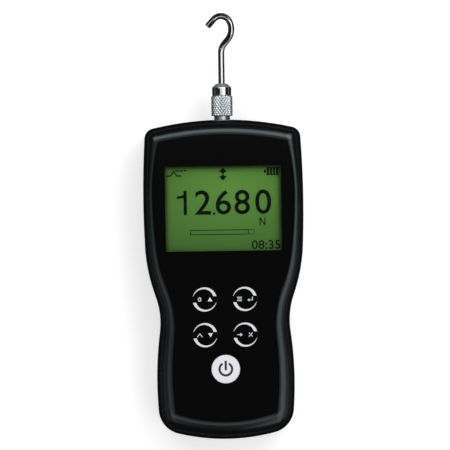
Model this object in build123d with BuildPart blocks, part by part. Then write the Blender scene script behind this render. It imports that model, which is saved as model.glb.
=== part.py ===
from build123d import *
from dataclasses import dataclass
from math import asin, cos, degrees, radians, sin, sqrt
import os

os.makedirs("parts", exist_ok=True)

# A handheld digital force gauge, in millimetres. It lies on its back: +X is the width, +Y is the load
# axis towards the hook and +Z points out of the display. The origin is the centre of the four
# test-stand holes, on the back face.

# ------------------------------------------------------------------ case, driving dimensions
BODY_WIDTH = 75.0
BODY_LENGTH = 149.5
BODY_DEPTH = 38.0
WAIST_WIDTH = 60.6
HIP_WIDTH = 64.4
STAND_TO_TOP = 62.0  # from the centre of the stand holes to the top end of the case
PARTING_HEIGHT = BODY_DEPTH / 2  # the plane where the two shells meet
PARTING_BREAK = 0.25  # bevel on each shell's outer edge, so the joint reads as a fine line

WALL = 2.2
BACK_WALL = 2.5
FRONT_WALL = 3.0
BACK_EDGE_RADIUS = 4.5
CROWN_RISE = 6.5  # height over which the front rim rounds from the side to its crest
CROWN_STEPS = 5
INNER_BEVEL = 2.4  # along the inner edges of both shells
CUT_PAST = 1.0  # how far a cut runs on beyond the face it opens
SAME_LEVEL = 0.01  # points this close in height count as one level

TOP = STAND_TO_TOP
BOTTOM = TOP - BODY_LENGTH
CROWN_START = BODY_DEPTH - CROWN_RISE

# recessed front field, measured inwards from the side of the case
RIM_AT_TOP = 6.8
RIM_AT_WIDEST = 4.1
RIM_AT_WAIST = 6.6
RIM_AT_HIP = 7.2
RIM_AT_BOTTOM = 8.0
RIM_ROUNDED = 0.95  # share of the rim's width that is round; the rest is a flat beside the panel
OVERLAY_BELOW_RIM = 0.8
OVERLAY_THICKNESS = 0.8
OVERLAY_FIT = 0.1

OVERLAY_FRONT = BODY_DEPTH - OVERLAY_BELOW_RIM
OVERLAY_BACK = OVERLAY_FRONT - OVERLAY_THICKNESS
FRONT_WALL_BACK = OVERLAY_BACK - FRONT_WALL

# tongue and groove between the shells
TONGUE_THICKNESS = 0.9
TONGUE_HEIGHT = 1.0
TONGUE_CLEARANCE = 0.1

# case screws, M3 from the back into brass inserts, placed from the sides and the ends of the case
TOP_SCREW_FROM_SIDE = 9.0
TOP_SCREW_FROM_END = 8.2
WAIST_SCREW_FROM_SIDE = 5.3
WAIST_SCREW_FROM_TOP = 83.0
BOTTOM_SCREW_FROM_SIDE = 15.2
BOTTOM_SCREW_FROM_END = 7.0
CASE_SCREW_RADIUS = 1.5
CASE_HEAD_RADIUS = 2.8
CASE_HEAD_HEIGHT = 2.4
CASE_WELL_RADIUS = 3.1
CASE_HEAD_SEAT = 8.0  # how much of the rear boss is left under the screw's head
CASE_SCREW_BITE = 5.0  # length of screw in the insert
REAR_BOSS_RADIUS = 4.2
FRONT_COLUMN_RADIUS = 3.2
INSERT_RADIUS = 2.1
INSERT_LENGTH = 6.0
SCREW_CLEARANCE = 0.2

CASE_SCREW_PLACES = (
    (BODY_WIDTH / 2 - TOP_SCREW_FROM_SIDE, TOP - TOP_SCREW_FROM_END),
    (WAIST_WIDTH / 2 - WAIST_SCREW_FROM_SIDE, TOP - WAIST_SCREW_FROM_TOP),
    (HIP_WIDTH / 2 - BOTTOM_SCREW_FROM_SIDE, BOTTOM + BOTTOM_SCREW_FROM_END),
)
CASE_WELL_DEPTH = PARTING_HEIGHT - CASE_HEAD_SEAT
CASE_SCREW_LENGTH = CASE_HEAD_SEAT + CASE_SCREW_BITE

# ------------------------------------------------------------------ display
APERTURE_FROM_SIDE = 10.35
APERTURE_HEIGHT = 39.7
DISPLAY_BELOW_TOP = 41.65
WINDOW_MARGIN = 2.0  # the clear window reaches this far past the aperture
WINDOW_THICKNESS = 1.5
WINDOW_FIT = 0.15
OPENING_MARGIN = 0.5
BEZEL_MARGIN = 3.75  # the bezel reaches this far past the aperture
BEZEL_SHEET = 0.5
GLASS_THICKNESS = 2.2
BACKLIGHT_THICKNESS = 2.0
GLASS_FIT = 0.2
BOARD_THICKNESS = 1.6
BOARD_CORNER = 1.0
BOARD_PAST_BEZEL = (1.0, 5.9)  # at the sides and at the ends
BOARD_SCREW_FROM_EDGE = (4.9, 3.0)

APERTURE_WIDTH = BODY_WIDTH - 2 * APERTURE_FROM_SIDE
BEZEL_WIDTH = APERTURE_WIDTH + 2 * BEZEL_MARGIN
BEZEL_HEIGHT = APERTURE_HEIGHT + 2 * BEZEL_MARGIN
DISPLAY_BOARD_WIDTH = BEZEL_WIDTH + 2 * BOARD_PAST_BEZEL[0]
DISPLAY_BOARD_HEIGHT = BEZEL_HEIGHT + 2 * BOARD_PAST_BEZEL[1]
DISPLAY_SCREW_X = DISPLAY_BOARD_WIDTH / 2 - BOARD_SCREW_FROM_EDGE[0]
DISPLAY_SCREW_RISE = DISPLAY_BOARD_HEIGHT / 2 - BOARD_SCREW_FROM_EDGE[1]
DISPLAY_Y = TOP - DISPLAY_BELOW_TOP
BOARD_FRONT = FRONT_WALL_BACK - BEZEL_SHEET - GLASS_THICKNESS - BACKLIGHT_THICKNESS
BOARD_BACK = BOARD_FRONT - BOARD_THICKNESS

# ------------------------------------------------------------------ keys and main board
KEY_X = 9.4
UPPER_KEYS_BELOW_TOP = 84.0
LOWER_KEYS_BELOW_TOP = 100.7
POWER_KEY_BELOW_TOP = 116.7
KEY_RADIUS = 6.1
POWER_KEY_RADIUS = 6.65
KEY_GAP = 0.15
KEY_FLANGE = 1.0
KEY_FLANGE_THICKNESS = 0.8
KEY_FLANGE_DROP = 0.1  # from the back of the overlay down to the flange
KEY_TRAVEL = 0.4
KEY_OVERTRAVEL = 0.2
KEY_STEM_RADIUS = 2.5
KEY_STEM_GAP = 0.2
KEY_EDGE_RADIUS = 0.25
PLUNGER_RADIUS = 1.6
PLUNGER_GAP = 0.2
PLUNGER_REACH = 0.8
SWITCH_SIZE = 6.0
SWITCH_HEIGHT = 3.3
STEM_OVER_SWITCH = 0.6

MAIN_BOARD_BELOW_TOP = 73.5
MAIN_BOARD_INSET = 3.5
MAIN_SCREW_FROM_SIDE = 9.3
MAIN_SCREWS_BELOW_TOP = (96.0, 128.0)
COLUMN_GAP = 0.4

BOARD_POST_RADIUS = 2.5
BOARD_SCREW_RADIUS = 1.1
BOARD_SCREW_LENGTH = 5.0
BOARD_HEAD_RADIUS = 2.0
BOARD_HEAD_HEIGHT = 1.4

CONNECTOR_SIZE = (20.0, 8.0, 2.5)
CONNECTOR_RISE = 1.2  # its middle stands this far above the main board's top edge
CHIP_HEIGHT = 1.5
# chips: x, y, width and height, from the display's centre and from the main board's top edge
DISPLAY_CHIPS = ((0.0, 6.0, 12.0, 12.0), (17.0, 10.0, 6.0, 8.0), (-18.0, -12.0, 8.0, 6.0))
MAIN_CHIPS = ((0.0, -26.0, 10.0, 10.0), (14.0, -48.0, 5.0, 6.0))
BUZZER_RADIUS = 6.0
BUZZER_HEIGHT = 5.0
BUZZER_X = -14.0
BUZZER_BELOW_TOP = 118.0
BUZZER_HOLE_RADIUS = 1.0
BUZZER_HOLE_DEPTH = 1.0
SOCKET_WIDTH = 7.7
SOCKET_HEIGHT = 3.9
SOCKET_DEPTH = 9.2
SOCKET_SHEET = 0.4
SOCKET_CORNER = 0.8
SOCKET_FLOOR = 2.0
SOCKET_TONGUE_WIDTH = 5.0
SOCKET_TONGUE_THICKNESS = 0.8
SOCKET_TONGUE_SET_BACK = 1.0
SOCKET_SET_BACK = 1.3
SOCKET_GAP = 0.3

KEY_PLACES = {
    "key_zero_up": (-KEY_X, TOP - UPPER_KEYS_BELOW_TOP, KEY_RADIUS),
    "key_menu_enter": (KEY_X, TOP - UPPER_KEYS_BELOW_TOP, KEY_RADIUS),
    "key_peak_down": (-KEY_X, TOP - LOWER_KEYS_BELOW_TOP, KEY_RADIUS),
    "key_send_exit": (KEY_X, TOP - LOWER_KEYS_BELOW_TOP, KEY_RADIUS),
    "key_power": (0.0, TOP - POWER_KEY_BELOW_TOP, POWER_KEY_RADIUS),
}
MAIN_SCREW_X = WAIST_WIDTH / 2 - MAIN_SCREW_FROM_SIDE
MAIN_BOARD_EDGE = TOP - MAIN_BOARD_BELOW_TOP
KEY_FLANGE_FRONT = OVERLAY_BACK - KEY_FLANGE_DROP
KEY_FLANGE_BACK = KEY_FLANGE_FRONT - KEY_FLANGE_THICKNESS
KEY_SEAT = KEY_FLANGE_BACK - KEY_TRAVEL - KEY_OVERTRAVEL
SWITCH_FRONT = BOARD_FRONT + SWITCH_HEIGHT
STEM_END = SWITCH_FRONT + STEM_OVER_SWITCH

# ------------------------------------------------------------------ load train
LOAD_AXIS_HEIGHT = PARTING_HEIGHT
STAND_SPACING_X = 30.0
STAND_SPACING_Y = 40.0
STAND_HOLE_RADIUS = 1.65  # core of an M4 thread
STAND_BOSS_RADIUS = 4.5
STAND_BOSS_GAP = 0.1
PLATE_TO_BOSS = 0.3  # gap beside the waist screws' bosses
PLATE_TOP = 50.0
PLATE_BOTTOM = -24.3
PLATE_THICKNESS = 3.0
PLATE_STANDOFF = 3.0
PLATE_CORNER = 4.0
PLATE_SCREW_FROM_EDGE = 3.5
PLATE_SCREW_YS = (-2.0, 44.0)
PLATE_POST_RADIUS = 3.0
PLATE_SCREW_RADIUS = 1.4
PLATE_SCREW_BITE = 4.0
PLATE_HEAD_RADIUS = 2.6
PLATE_HEAD_HEIGHT = 1.8

CELL_WIDTH = 34.0
CELL_LENGTH = 42.0
CELL_TO_CHIPS = 1.6  # gap between the load cell and the chips in front of it
CELL_BOTTOM = 4.0
CELL_ARM = 10.0
CELL_SLOT = 1.6
CELL_BRIDGE = 6.0
CELL_EYE_RADIUS = 6.5
CELL_EYE_X = 7.5
CELL_EYE_SLOT = 3.0
CELL_BORE_DEPTH = 9.0
CELL_SCREW_X = 9.0
CELL_SCREW_RADIUS = 2.0
CELL_HEAD_RADIUS = 3.5
CELL_HEAD_HEIGHT = 3.5
CELL_HEAD_CLEARANCE = 0.1
CELL_HEX_RADIUS = 1.7
CELL_HEX_DEPTH = 2.0
SPACER_WIDTH = 28.0
SPACER_LENGTH = 9.0

PLATE_WIDTH = 2 * (WAIST_WIDTH / 2 - WAIST_SCREW_FROM_SIDE - REAR_BOSS_RADIUS - PLATE_TO_BOSS)
PLATE_SCREW_X = PLATE_WIDTH / 2 - PLATE_SCREW_FROM_EDGE
PLATE_BACK = BACK_WALL + PLATE_STANDOFF
PLATE_FRONT = PLATE_BACK + PLATE_THICKNESS
CELL_TOP = CELL_BOTTOM + CELL_LENGTH
CELL_THICKNESS = 2 * (BOARD_BACK - CHIP_HEIGHT - CELL_TO_CHIPS - LOAD_AXIS_HEIGHT)
CELL_BACK = LOAD_AXIS_HEIGHT - CELL_THICKNESS / 2
CELL_FRONT = LOAD_AXIS_HEIGHT + CELL_THICKNESS / 2

THREAD_RADIUS = 3.0  # M6
THREAD_CLEARANCE = 0.05
SHAFT_RADIUS = 3.7
SHAFT_NECK = 1.9  # what shows of the shaft between the case and the lock nut
SHAFT_STUD = 12.6
SHAFT_END_GAP = 0.5  # between the shaft's inner end and the floor of the load cell's bore
STUD_CHAMFER = 0.5
SHAFT_TRAVEL = 0.25
GUARD_RADIUS = 5.5
GUARD_FLANGE_RADIUS = 7.0
GUARD_FLANGE_THICKNESS = 2.0
GUARD_BORE_RADIUS = 4.2
GUARD_FIT = 0.05
GUARD_FLANGE_GAP = 0.3
GUARD_SET_BACK = 0.2

NUT_RADIUS = 5.1
NUT_LENGTH = 9.35
NUT_CHAMFER = 0.35
FACE_GAP = 0.1
FERRULE_RADIUS = 4.5
FERRULE_LENGTH = 3.9
FERRULE_CONE = 1.8
FERRULE_TIP_RADIUS = 2.6
FERRULE_FLOOR = 0.6
STUD_END_GAP = 0.2

# ------------------------------------------------------------------ hook
WIRE_RADIUS = 1.5
HOOK_SHANK = 16.4  # straight wire from the ferrule's floor to the first bend
HOOK_LEAN = 40.0
HOOK_SWING_RADIUS = 6.5
HOOK_RISE = 2.4
HOOK_SIDE_RADIUS = 7.9
HOOK_SIDE_TURN = 70.0
HOOK_CROWN_RADIUS = 4.4
HOOK_CROWN_TURN = 108.0
HOOK_TIP = 4.7
HOOK_TIP_ROUND = 0.6

# ------------------------------------------------------------------ batteries, four AAA cells
CELL_COUNT = 4
BATTERY_RADIUS = 5.25
BATTERY_LENGTH = 43.7
BATTERY_NUB_RADIUS = 1.9
BATTERY_NUB_LENGTH = 0.8
BATTERY_SPACING = 0.6
BAY_SIDE_GAP = 0.7
BAY_TOP_GAP = 0.3
BAY_WALL = 1.5
BAY_BELOW_TOP = 89.0
BAY_LENGTH = 48.5
CONTACT_SIZE = 8.0
CONTACT_SHEET = 0.4
CONTACT_BUMP_RADIUS = 1.5
CONTACT_BUMP_HEIGHT = 0.6
SPRING_FOOT_RADIUS = 3.4
SPRING_TIP_RADIUS = 2.4

COVER_THICKNESS = 2.0
COVER_FACE = 1.2  # thickness outside the side tongues
COVER_TONGUE = 1.0
COVER_GAP = 0.15
COVER_OVERLAP = 1.1
GRIP_FROM_EDGE = 8.0
GRIP_COUNT = 4
GRIP_PITCH = 2.4
GRIP_LENGTH = 16.0
GRIP_RADIUS = 0.5

BATTERY_PITCH = 2 * BATTERY_RADIUS + BATTERY_SPACING
BAY_WIDTH = CELL_COUNT * BATTERY_PITCH - BATTERY_SPACING + 2 * BAY_SIDE_GAP
BAY_TOP = TOP - BAY_BELOW_TOP
BAY_BOTTOM = BAY_TOP - BAY_LENGTH
BATTERY_AXIS_HEIGHT = COVER_THICKNESS + BAY_TOP_GAP + BATTERY_RADIUS
BAY_CEILING = BATTERY_AXIS_HEIGHT + BATTERY_RADIUS + BAY_TOP_GAP
COVER_WIDTH = BAY_WIDTH + 2 * (COVER_OVERLAP - COVER_TONGUE)
COVER_TOP = BAY_TOP + COVER_OVERLAP


# ------------------------------------------------------------------ outlines
def circles_meet(first, first_radius, second, second_radius):
    """The two points where two circles cross."""
    apart = second - first
    distance = apart.length
    along = (first_radius**2 - second_radius**2 + distance**2) / (2 * distance)
    across = sqrt(first_radius**2 - along**2)
    middle = first + apart * (along / distance)
    sideways = Vector(-apart.Y, apart.X) * (across / distance)
    return middle + sideways, middle - sideways


def centre_below(centre, x, distance):
    """The centre at the given x that lies below another centre, at the given distance from it."""
    return Vector(x, centre.Y - sqrt(distance**2 - (x - centre.X) ** 2))


def heading(start, end):
    """The direction from start to end, in degrees from +X, between -90 and 90 on the right side."""
    away = end - start
    return degrees(asin(away.Y / away.length))


def arc(centre, radius, start, end):
    """An arc about a centre, from one angle to another."""
    CenterArc((centre.X, centre.Y), radius, start, end - start)


@dataclass
class WaistedOutline:
    """A symmetric outline whose sides run in tangent arcs over crown, flank, shoulder, waist and hip.

    to_widest and to_shoulder are measured down from the outline's top.
    """

    top: float
    bottom: float
    half_width: float
    to_widest: float
    crown_radius: float
    flank_radius: float
    to_shoulder: float
    shoulder_radius: float
    waist_half: float
    waist_radius: float
    hip_half: float
    hip_radius: float
    top_radius: float
    bottom_radius: float
    top_corner: float
    bottom_corner: float
    least_corner: float = 0.4

    def draw(self, inset=0.0):
        """Adds the outline, moved inwards by inset, to the open sketch."""
        widest_y = self.top - self.to_widest
        crown = Vector(self.half_width - self.crown_radius, widest_y)
        flank = Vector(self.half_width - self.flank_radius, widest_y)
        flank_end = -degrees(asin((self.to_shoulder - self.to_widest) / self.flank_radius))
        outwards = Vector(cos(radians(flank_end)), sin(radians(flank_end)))
        shoulder = flank + outwards * (self.flank_radius - self.shoulder_radius)
        waist = centre_below(
            shoulder, self.waist_half + self.waist_radius, self.shoulder_radius + self.waist_radius
        )
        hip = centre_below(
            waist, self.hip_half - self.hip_radius, self.waist_radius + self.hip_radius
        )
        roof = Vector(0, self.top - self.top_radius)
        foot = Vector(0, self.bottom + self.bottom_radius)
        top_points = circles_meet(
            crown, self.crown_radius - inset, roof, self.top_radius - inset
        )
        bottom_points = circles_meet(
            hip, self.hip_radius - inset, foot, self.bottom_radius - inset
        )
        top_point = max(top_points, key=lambda point: point.Y)
        bottom_point = min(bottom_points, key=lambda point: point.Y)
        into_waist = heading(shoulder, waist)
        out_of_waist = heading(hip, waist)
        roof_angle = heading(roof, top_point)
        foot_angle = heading(foot, bottom_point)
        with BuildLine() as sides:
            arc(crown, self.crown_radius - inset, heading(crown, top_point), 0)
            arc(flank, self.flank_radius - inset, 0, flank_end)
            arc(shoulder, self.shoulder_radius - inset, flank_end, into_waist)
            arc(waist, self.waist_radius + inset, 180 + into_waist, 180 + out_of_waist)
            arc(hip, self.hip_radius - inset, out_of_waist, heading(hip, bottom_point))
            mirror(about=Plane.YZ)
            arc(roof, self.top_radius - inset, roof_angle, 180 - roof_angle)
            arc(foot, self.bottom_radius - inset, foot_angle, -180 - foot_angle)
        make_face(sides.edges())
        top_corners = vertices().group_by(Axis.Y)[-1]
        fillet(top_corners, max(self.top_corner - inset, self.least_corner))
        bottom_corners = vertices().filter_by(lambda v: v.Y < bottom_point.Y + SAME_LEVEL)
        fillet(bottom_corners, max(self.bottom_corner - inset, self.least_corner))


def outline_between(outer, inner, share):
    """An outline part of the way between two; lengths change evenly, radii by their curvature."""
    sizes = {}
    for name, start in vars(outer).items():
        end = getattr(inner, name)
        if name.endswith("radius"):
            sizes[name] = 1 / ((1 - share) / start + share / end)
        else:
            sizes[name] = (1 - share) * start + share * end
    return WaistedOutline(**sizes)


case_outline = WaistedOutline(
    top=TOP,
    bottom=BOTTOM,
    half_width=BODY_WIDTH / 2,
    to_widest=38.0,
    crown_radius=450.0,
    flank_radius=450.0,
    to_shoulder=59.0,
    shoulder_radius=80.0,
    waist_half=WAIST_WIDTH / 2,
    waist_radius=36.0,
    hip_half=HIP_WIDTH / 2,
    hip_radius=170.0,
    top_radius=145.0,
    bottom_radius=92.0,
    top_corner=5.0,
    bottom_corner=12.0,
)

panel_outline = WaistedOutline(
    top=TOP - RIM_AT_TOP,
    bottom=BOTTOM + RIM_AT_BOTTOM,
    half_width=BODY_WIDTH / 2 - RIM_AT_WIDEST,
    to_widest=27.2,
    crown_radius=95.0,
    flank_radius=220.0,
    to_shoulder=55.2,
    shoulder_radius=65.0,
    waist_half=WAIST_WIDTH / 2 - RIM_AT_WAIST,
    waist_radius=50.0,
    hip_half=HIP_WIDTH / 2 - RIM_AT_HIP,
    hip_radius=140.0,
    top_radius=143.0,
    bottom_radius=69.0,
    top_corner=1.5,
    bottom_corner=1.0,
)


def both_sides(places):
    """Each place and its mirror image across the middle of the case."""
    return [(side * x, y) for x, y in places for side in (-1, 1)]


def rod(places, radius, start, end, mode=Mode.ADD):
    """Round rods along Z at the given places, from one height to another."""
    with BuildSketch(Plane.XY.offset(start)) as section:
        with Locations(*places):
            Circle(radius)
    extrude(section.sketch, amount=end - start, mode=mode)


def block(x_range, y_range, z_range, mode=Mode.ADD):
    """A rectangular block between the given coordinates."""
    with BuildSketch(Plane.XY.offset(z_range[0])) as section:
        with Locations(((x_range[0] + x_range[1]) / 2, (y_range[0] + y_range[1]) / 2)):
            Rectangle(x_range[1] - x_range[0], y_range[1] - y_range[0])
    extrude(section.sketch, amount=z_range[1] - z_range[0], mode=mode)


def finish(sub_part, name):
    """Labels a finished piece and writes it."""
    sub_part.label = name
    export_step(sub_part, f"parts/{name}.step")


case_screws_at = both_sides(CASE_SCREW_PLACES)
display_screws_at = both_sides(
    [(DISPLAY_SCREW_X, DISPLAY_Y - DISPLAY_SCREW_RISE), (DISPLAY_SCREW_X, DISPLAY_Y + DISPLAY_SCREW_RISE)]
)
main_screws_at = both_sides([(MAIN_SCREW_X, TOP - below) for below in MAIN_SCREWS_BELOW_TOP])
board_screws_at = display_screws_at + main_screws_at
plate_screws_at = both_sides([(PLATE_SCREW_X, y) for y in PLATE_SCREW_YS])
stand_holes_at = both_sides(
    [(STAND_SPACING_X / 2, -STAND_SPACING_Y / 2), (STAND_SPACING_X / 2, STAND_SPACING_Y / 2)]
)
cell_screws_at = both_sides([(CELL_SCREW_X, CELL_BOTTOM + CELL_ARM / 2)])
load_plane = Plane((0, 0, LOAD_AXIS_HEIGHT), x_dir=(1, 0, 0), z_dir=(0, 0, 1))
across_load = Plane((0, 0, LOAD_AXIS_HEIGHT), x_dir=(1, 0, 0), z_dir=(0, 1, 0))

# ------------------------------------------------------------------ front shell
with BuildPart() as front_shell:
    with BuildSketch(Plane.XY.offset(PARTING_HEIGHT)):
        case_outline.draw()
    extrude(amount=CROWN_START - PARTING_HEIGHT)
    chamfer(front_shell.faces().sort_by(Axis.Z)[0].edges(), PARTING_BREAK)
    for step in range(CROWN_STEPS + 1):
        turn = radians(90 * step / CROWN_STEPS)
        with BuildSketch(Plane.XY.offset(CROWN_START + CROWN_RISE * sin(turn))):
            share = RIM_ROUNDED * (1 - cos(turn))
            outline_between(case_outline, panel_outline, share).draw()
    loft()

    # recessed field for the overlay
    with BuildSketch(Plane.XY.offset(OVERLAY_BACK)):
        panel_outline.draw()
    extrude(amount=BODY_DEPTH - OVERLAY_BACK + CUT_PAST, mode=Mode.SUBTRACT)

    # inside of the shell, bevelled where its side meets the front wall
    with BuildSketch(Plane.XY.offset(PARTING_HEIGHT)):
        case_outline.draw(WALL)
    extrude(amount=FRONT_WALL_BACK - INNER_BEVEL - PARTING_HEIGHT, mode=Mode.SUBTRACT)
    with BuildSketch(Plane.XY.offset(FRONT_WALL_BACK - INNER_BEVEL)):
        case_outline.draw(WALL)
    with BuildSketch(Plane.XY.offset(FRONT_WALL_BACK)):
        case_outline.draw(WALL + INNER_BEVEL)
    loft(ruled=True, mode=Mode.SUBTRACT)

    # groove for the rear shell's tongue
    with BuildSketch(Plane.XY.offset(PARTING_HEIGHT)):
        case_outline.draw(WALL - TONGUE_THICKNESS - TONGUE_CLEARANCE)
    extrude(amount=TONGUE_HEIGHT + TONGUE_CLEARANCE, mode=Mode.SUBTRACT)

    # columns for the case screws and posts for the boards
    rod(case_screws_at, FRONT_COLUMN_RADIUS, PARTING_HEIGHT, FRONT_WALL_BACK)
    rod(board_screws_at, BOARD_POST_RADIUS, BOARD_FRONT, FRONT_WALL_BACK)
    rod(case_screws_at, INSERT_RADIUS, PARTING_HEIGHT, PARTING_HEIGHT + INSERT_LENGTH, Mode.SUBTRACT)
    rod(
        board_screws_at,
        BOARD_SCREW_RADIUS,
        BOARD_FRONT,
        BOARD_BACK + BOARD_SCREW_LENGTH,
        Mode.SUBTRACT,
    )

    # display opening with the rebate for the clear window
    with BuildSketch(Plane.XY.offset(OVERLAY_BACK)):
        with Locations((0, DISPLAY_Y)):
            Rectangle(
                APERTURE_WIDTH + 2 * (WINDOW_MARGIN + WINDOW_FIT),
                APERTURE_HEIGHT + 2 * (WINDOW_MARGIN + WINDOW_FIT),
            )
    extrude(amount=-WINDOW_THICKNESS, mode=Mode.SUBTRACT)
    with BuildSketch(Plane.XY.offset(OVERLAY_BACK)):
        with Locations((0, DISPLAY_Y)):
            Rectangle(APERTURE_WIDTH + 2 * OPENING_MARGIN, APERTURE_HEIGHT + 2 * OPENING_MARGIN)
    extrude(amount=-FRONT_WALL, mode=Mode.SUBTRACT)

    # stepped wells for the keys
    for x, y, radius in KEY_PLACES.values():
        rod([(x, y)], radius + KEY_FLANGE + KEY_GAP, KEY_SEAT, OVERLAY_BACK, Mode.SUBTRACT)
        rod([(x, y)], KEY_STEM_RADIUS + KEY_STEM_GAP, FRONT_WALL_BACK, KEY_SEAT, Mode.SUBTRACT)

    # half of the round hole for the guard ring, and the slot for the socket
    with BuildSketch(across_load.offset(TOP - 2 * WALL)):
        Circle(GUARD_RADIUS + GUARD_FIT)
    extrude(amount=3 * WALL, mode=Mode.SUBTRACT)
    block(
        (-SOCKET_WIDTH / 2 - SOCKET_GAP, SOCKET_WIDTH / 2 + SOCKET_GAP),
        (BOTTOM - WALL, BOTTOM + 2 * WALL),
        (BOARD_BACK - SOCKET_HEIGHT - SOCKET_GAP, BOARD_BACK + SOCKET_GAP),
        Mode.SUBTRACT,
    )
finish(front_shell.part, "front_shell")

# ------------------------------------------------------------------ rear shell
# the outer form of the back, shared by the shell and the battery cover that slides into it
with BuildPart() as back_form:
    with BuildSketch():
        case_outline.draw()
    extrude(amount=PARTING_HEIGHT)
    fillet(back_form.faces().sort_by(Axis.Z)[0].edges(), BACK_EDGE_RADIUS)
    chamfer(back_form.faces().sort_by(Axis.Z)[-1].edges(), PARTING_BREAK)

cover_half = COVER_WIDTH / 2
tongue_half = cover_half + COVER_TONGUE
bay_half = BAY_WIDTH / 2

with BuildPart() as rear_shell:
    add(back_form.part)
    with BuildSketch(Plane.XY.offset(BACK_WALL)):
        case_outline.draw(WALL + INNER_BEVEL)
    with BuildSketch(Plane.XY.offset(BACK_WALL + INNER_BEVEL)):
        case_outline.draw(WALL)
    loft(ruled=True, mode=Mode.SUBTRACT)
    with BuildSketch(Plane.XY.offset(BACK_WALL + INNER_BEVEL)):
        case_outline.draw(WALL)
    extrude(amount=PARTING_HEIGHT - BACK_WALL - INNER_BEVEL, mode=Mode.SUBTRACT)

    # tongue that centres the front shell
    with BuildSketch(Plane.XY.offset(PARTING_HEIGHT)):
        case_outline.draw(WALL - TONGUE_THICKNESS)
    extrude(amount=TONGUE_HEIGHT)
    with BuildSketch(Plane.XY.offset(PARTING_HEIGHT)):
        case_outline.draw(WALL)
    extrude(amount=TONGUE_HEIGHT, mode=Mode.SUBTRACT)
    rod(
        case_screws_at,
        FRONT_COLUMN_RADIUS + TONGUE_CLEARANCE,
        PARTING_HEIGHT,
        PARTING_HEIGHT + TONGUE_HEIGHT,
        Mode.SUBTRACT,
    )

    # screw bosses, plate posts and the battery bay
    rod(case_screws_at, REAR_BOSS_RADIUS, BACK_WALL, PARTING_HEIGHT)
    rod(plate_screws_at, PLATE_POST_RADIUS, BACK_WALL, PLATE_BACK)
    block(
        (-bay_half - BAY_WALL, bay_half + BAY_WALL),
        (BAY_BOTTOM - BAY_WALL, BAY_TOP + BAY_WALL),
        (BACK_WALL, BAY_CEILING + BAY_WALL),
    )
    block((-bay_half, bay_half), (BAY_BOTTOM, BAY_TOP), (0, BAY_CEILING), Mode.SUBTRACT)
    rod(case_screws_at, CASE_WELL_RADIUS, 0, CASE_WELL_DEPTH, Mode.SUBTRACT)
    rod(
        case_screws_at,
        CASE_SCREW_RADIUS + SCREW_CLEARANCE,
        CASE_WELL_DEPTH,
        PARTING_HEIGHT,
        Mode.SUBTRACT,
    )
    rod(
        plate_screws_at,
        PLATE_SCREW_RADIUS,
        PLATE_BACK - PLATE_SCREW_BITE,
        PLATE_BACK,
        Mode.SUBTRACT,
    )
    rod(stand_holes_at, STAND_BOSS_RADIUS + STAND_BOSS_GAP, 0, BACK_WALL, Mode.SUBTRACT)

    # channel for the battery cover, open at the bottom end
    block(
        (-cover_half - COVER_GAP, cover_half + COVER_GAP),
        (BOTTOM - CUT_PAST, COVER_TOP + COVER_GAP),
        (0, COVER_THICKNESS + COVER_GAP),
        Mode.SUBTRACT,
    )
    block(
        (-tongue_half - COVER_GAP, tongue_half + COVER_GAP),
        (BOTTOM - CUT_PAST, COVER_TOP + COVER_GAP),
        (COVER_FACE - COVER_GAP, COVER_THICKNESS + COVER_GAP),
        Mode.SUBTRACT,
    )

    with BuildSketch(across_load.offset(TOP - 2 * WALL)):
        Circle(GUARD_RADIUS + GUARD_FIT)
    extrude(amount=3 * WALL, mode=Mode.SUBTRACT)
finish(rear_shell.part, "rear_shell")

# ------------------------------------------------------------------ battery cover
with BuildPart() as battery_cover:
    block((-cover_half, cover_half), (BOTTOM, COVER_TOP), (0, COVER_THICKNESS))
    block((-tongue_half, tongue_half), (BOTTOM, COVER_TOP), (COVER_FACE, COVER_THICKNESS))
    add(back_form.part, mode=Mode.INTERSECT)
    # finger grip
    with BuildSketch(Plane.YZ.offset(-GRIP_LENGTH / 2)):
        with Locations((COVER_TOP - GRIP_FROM_EDGE, 0)):
            with GridLocations(GRIP_PITCH, 0, GRIP_COUNT, 1):
                Circle(GRIP_RADIUS)
    extrude(amount=GRIP_LENGTH, mode=Mode.SUBTRACT)
finish(battery_cover.part, "battery_cover")

# ------------------------------------------------------------------ overlay and display
with BuildPart() as front_overlay:
    with BuildSketch(Plane.XY.offset(OVERLAY_BACK)):
        panel_outline.draw(OVERLAY_FIT)
        with Locations((0, DISPLAY_Y)):
            Rectangle(APERTURE_WIDTH, APERTURE_HEIGHT, mode=Mode.SUBTRACT)
        for x, y, radius in KEY_PLACES.values():
            with Locations((x, y)):
                Circle(radius + KEY_GAP, mode=Mode.SUBTRACT)
    extrude(amount=OVERLAY_THICKNESS)
finish(front_overlay.part, "front_overlay")

with BuildPart() as display_window:
    with BuildSketch(Plane.XY.offset(OVERLAY_BACK)):
        with Locations((0, DISPLAY_Y)):
            Rectangle(APERTURE_WIDTH + 2 * WINDOW_MARGIN, APERTURE_HEIGHT + 2 * WINDOW_MARGIN)
    extrude(amount=-WINDOW_THICKNESS)
finish(display_window.part, "display_window")

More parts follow.
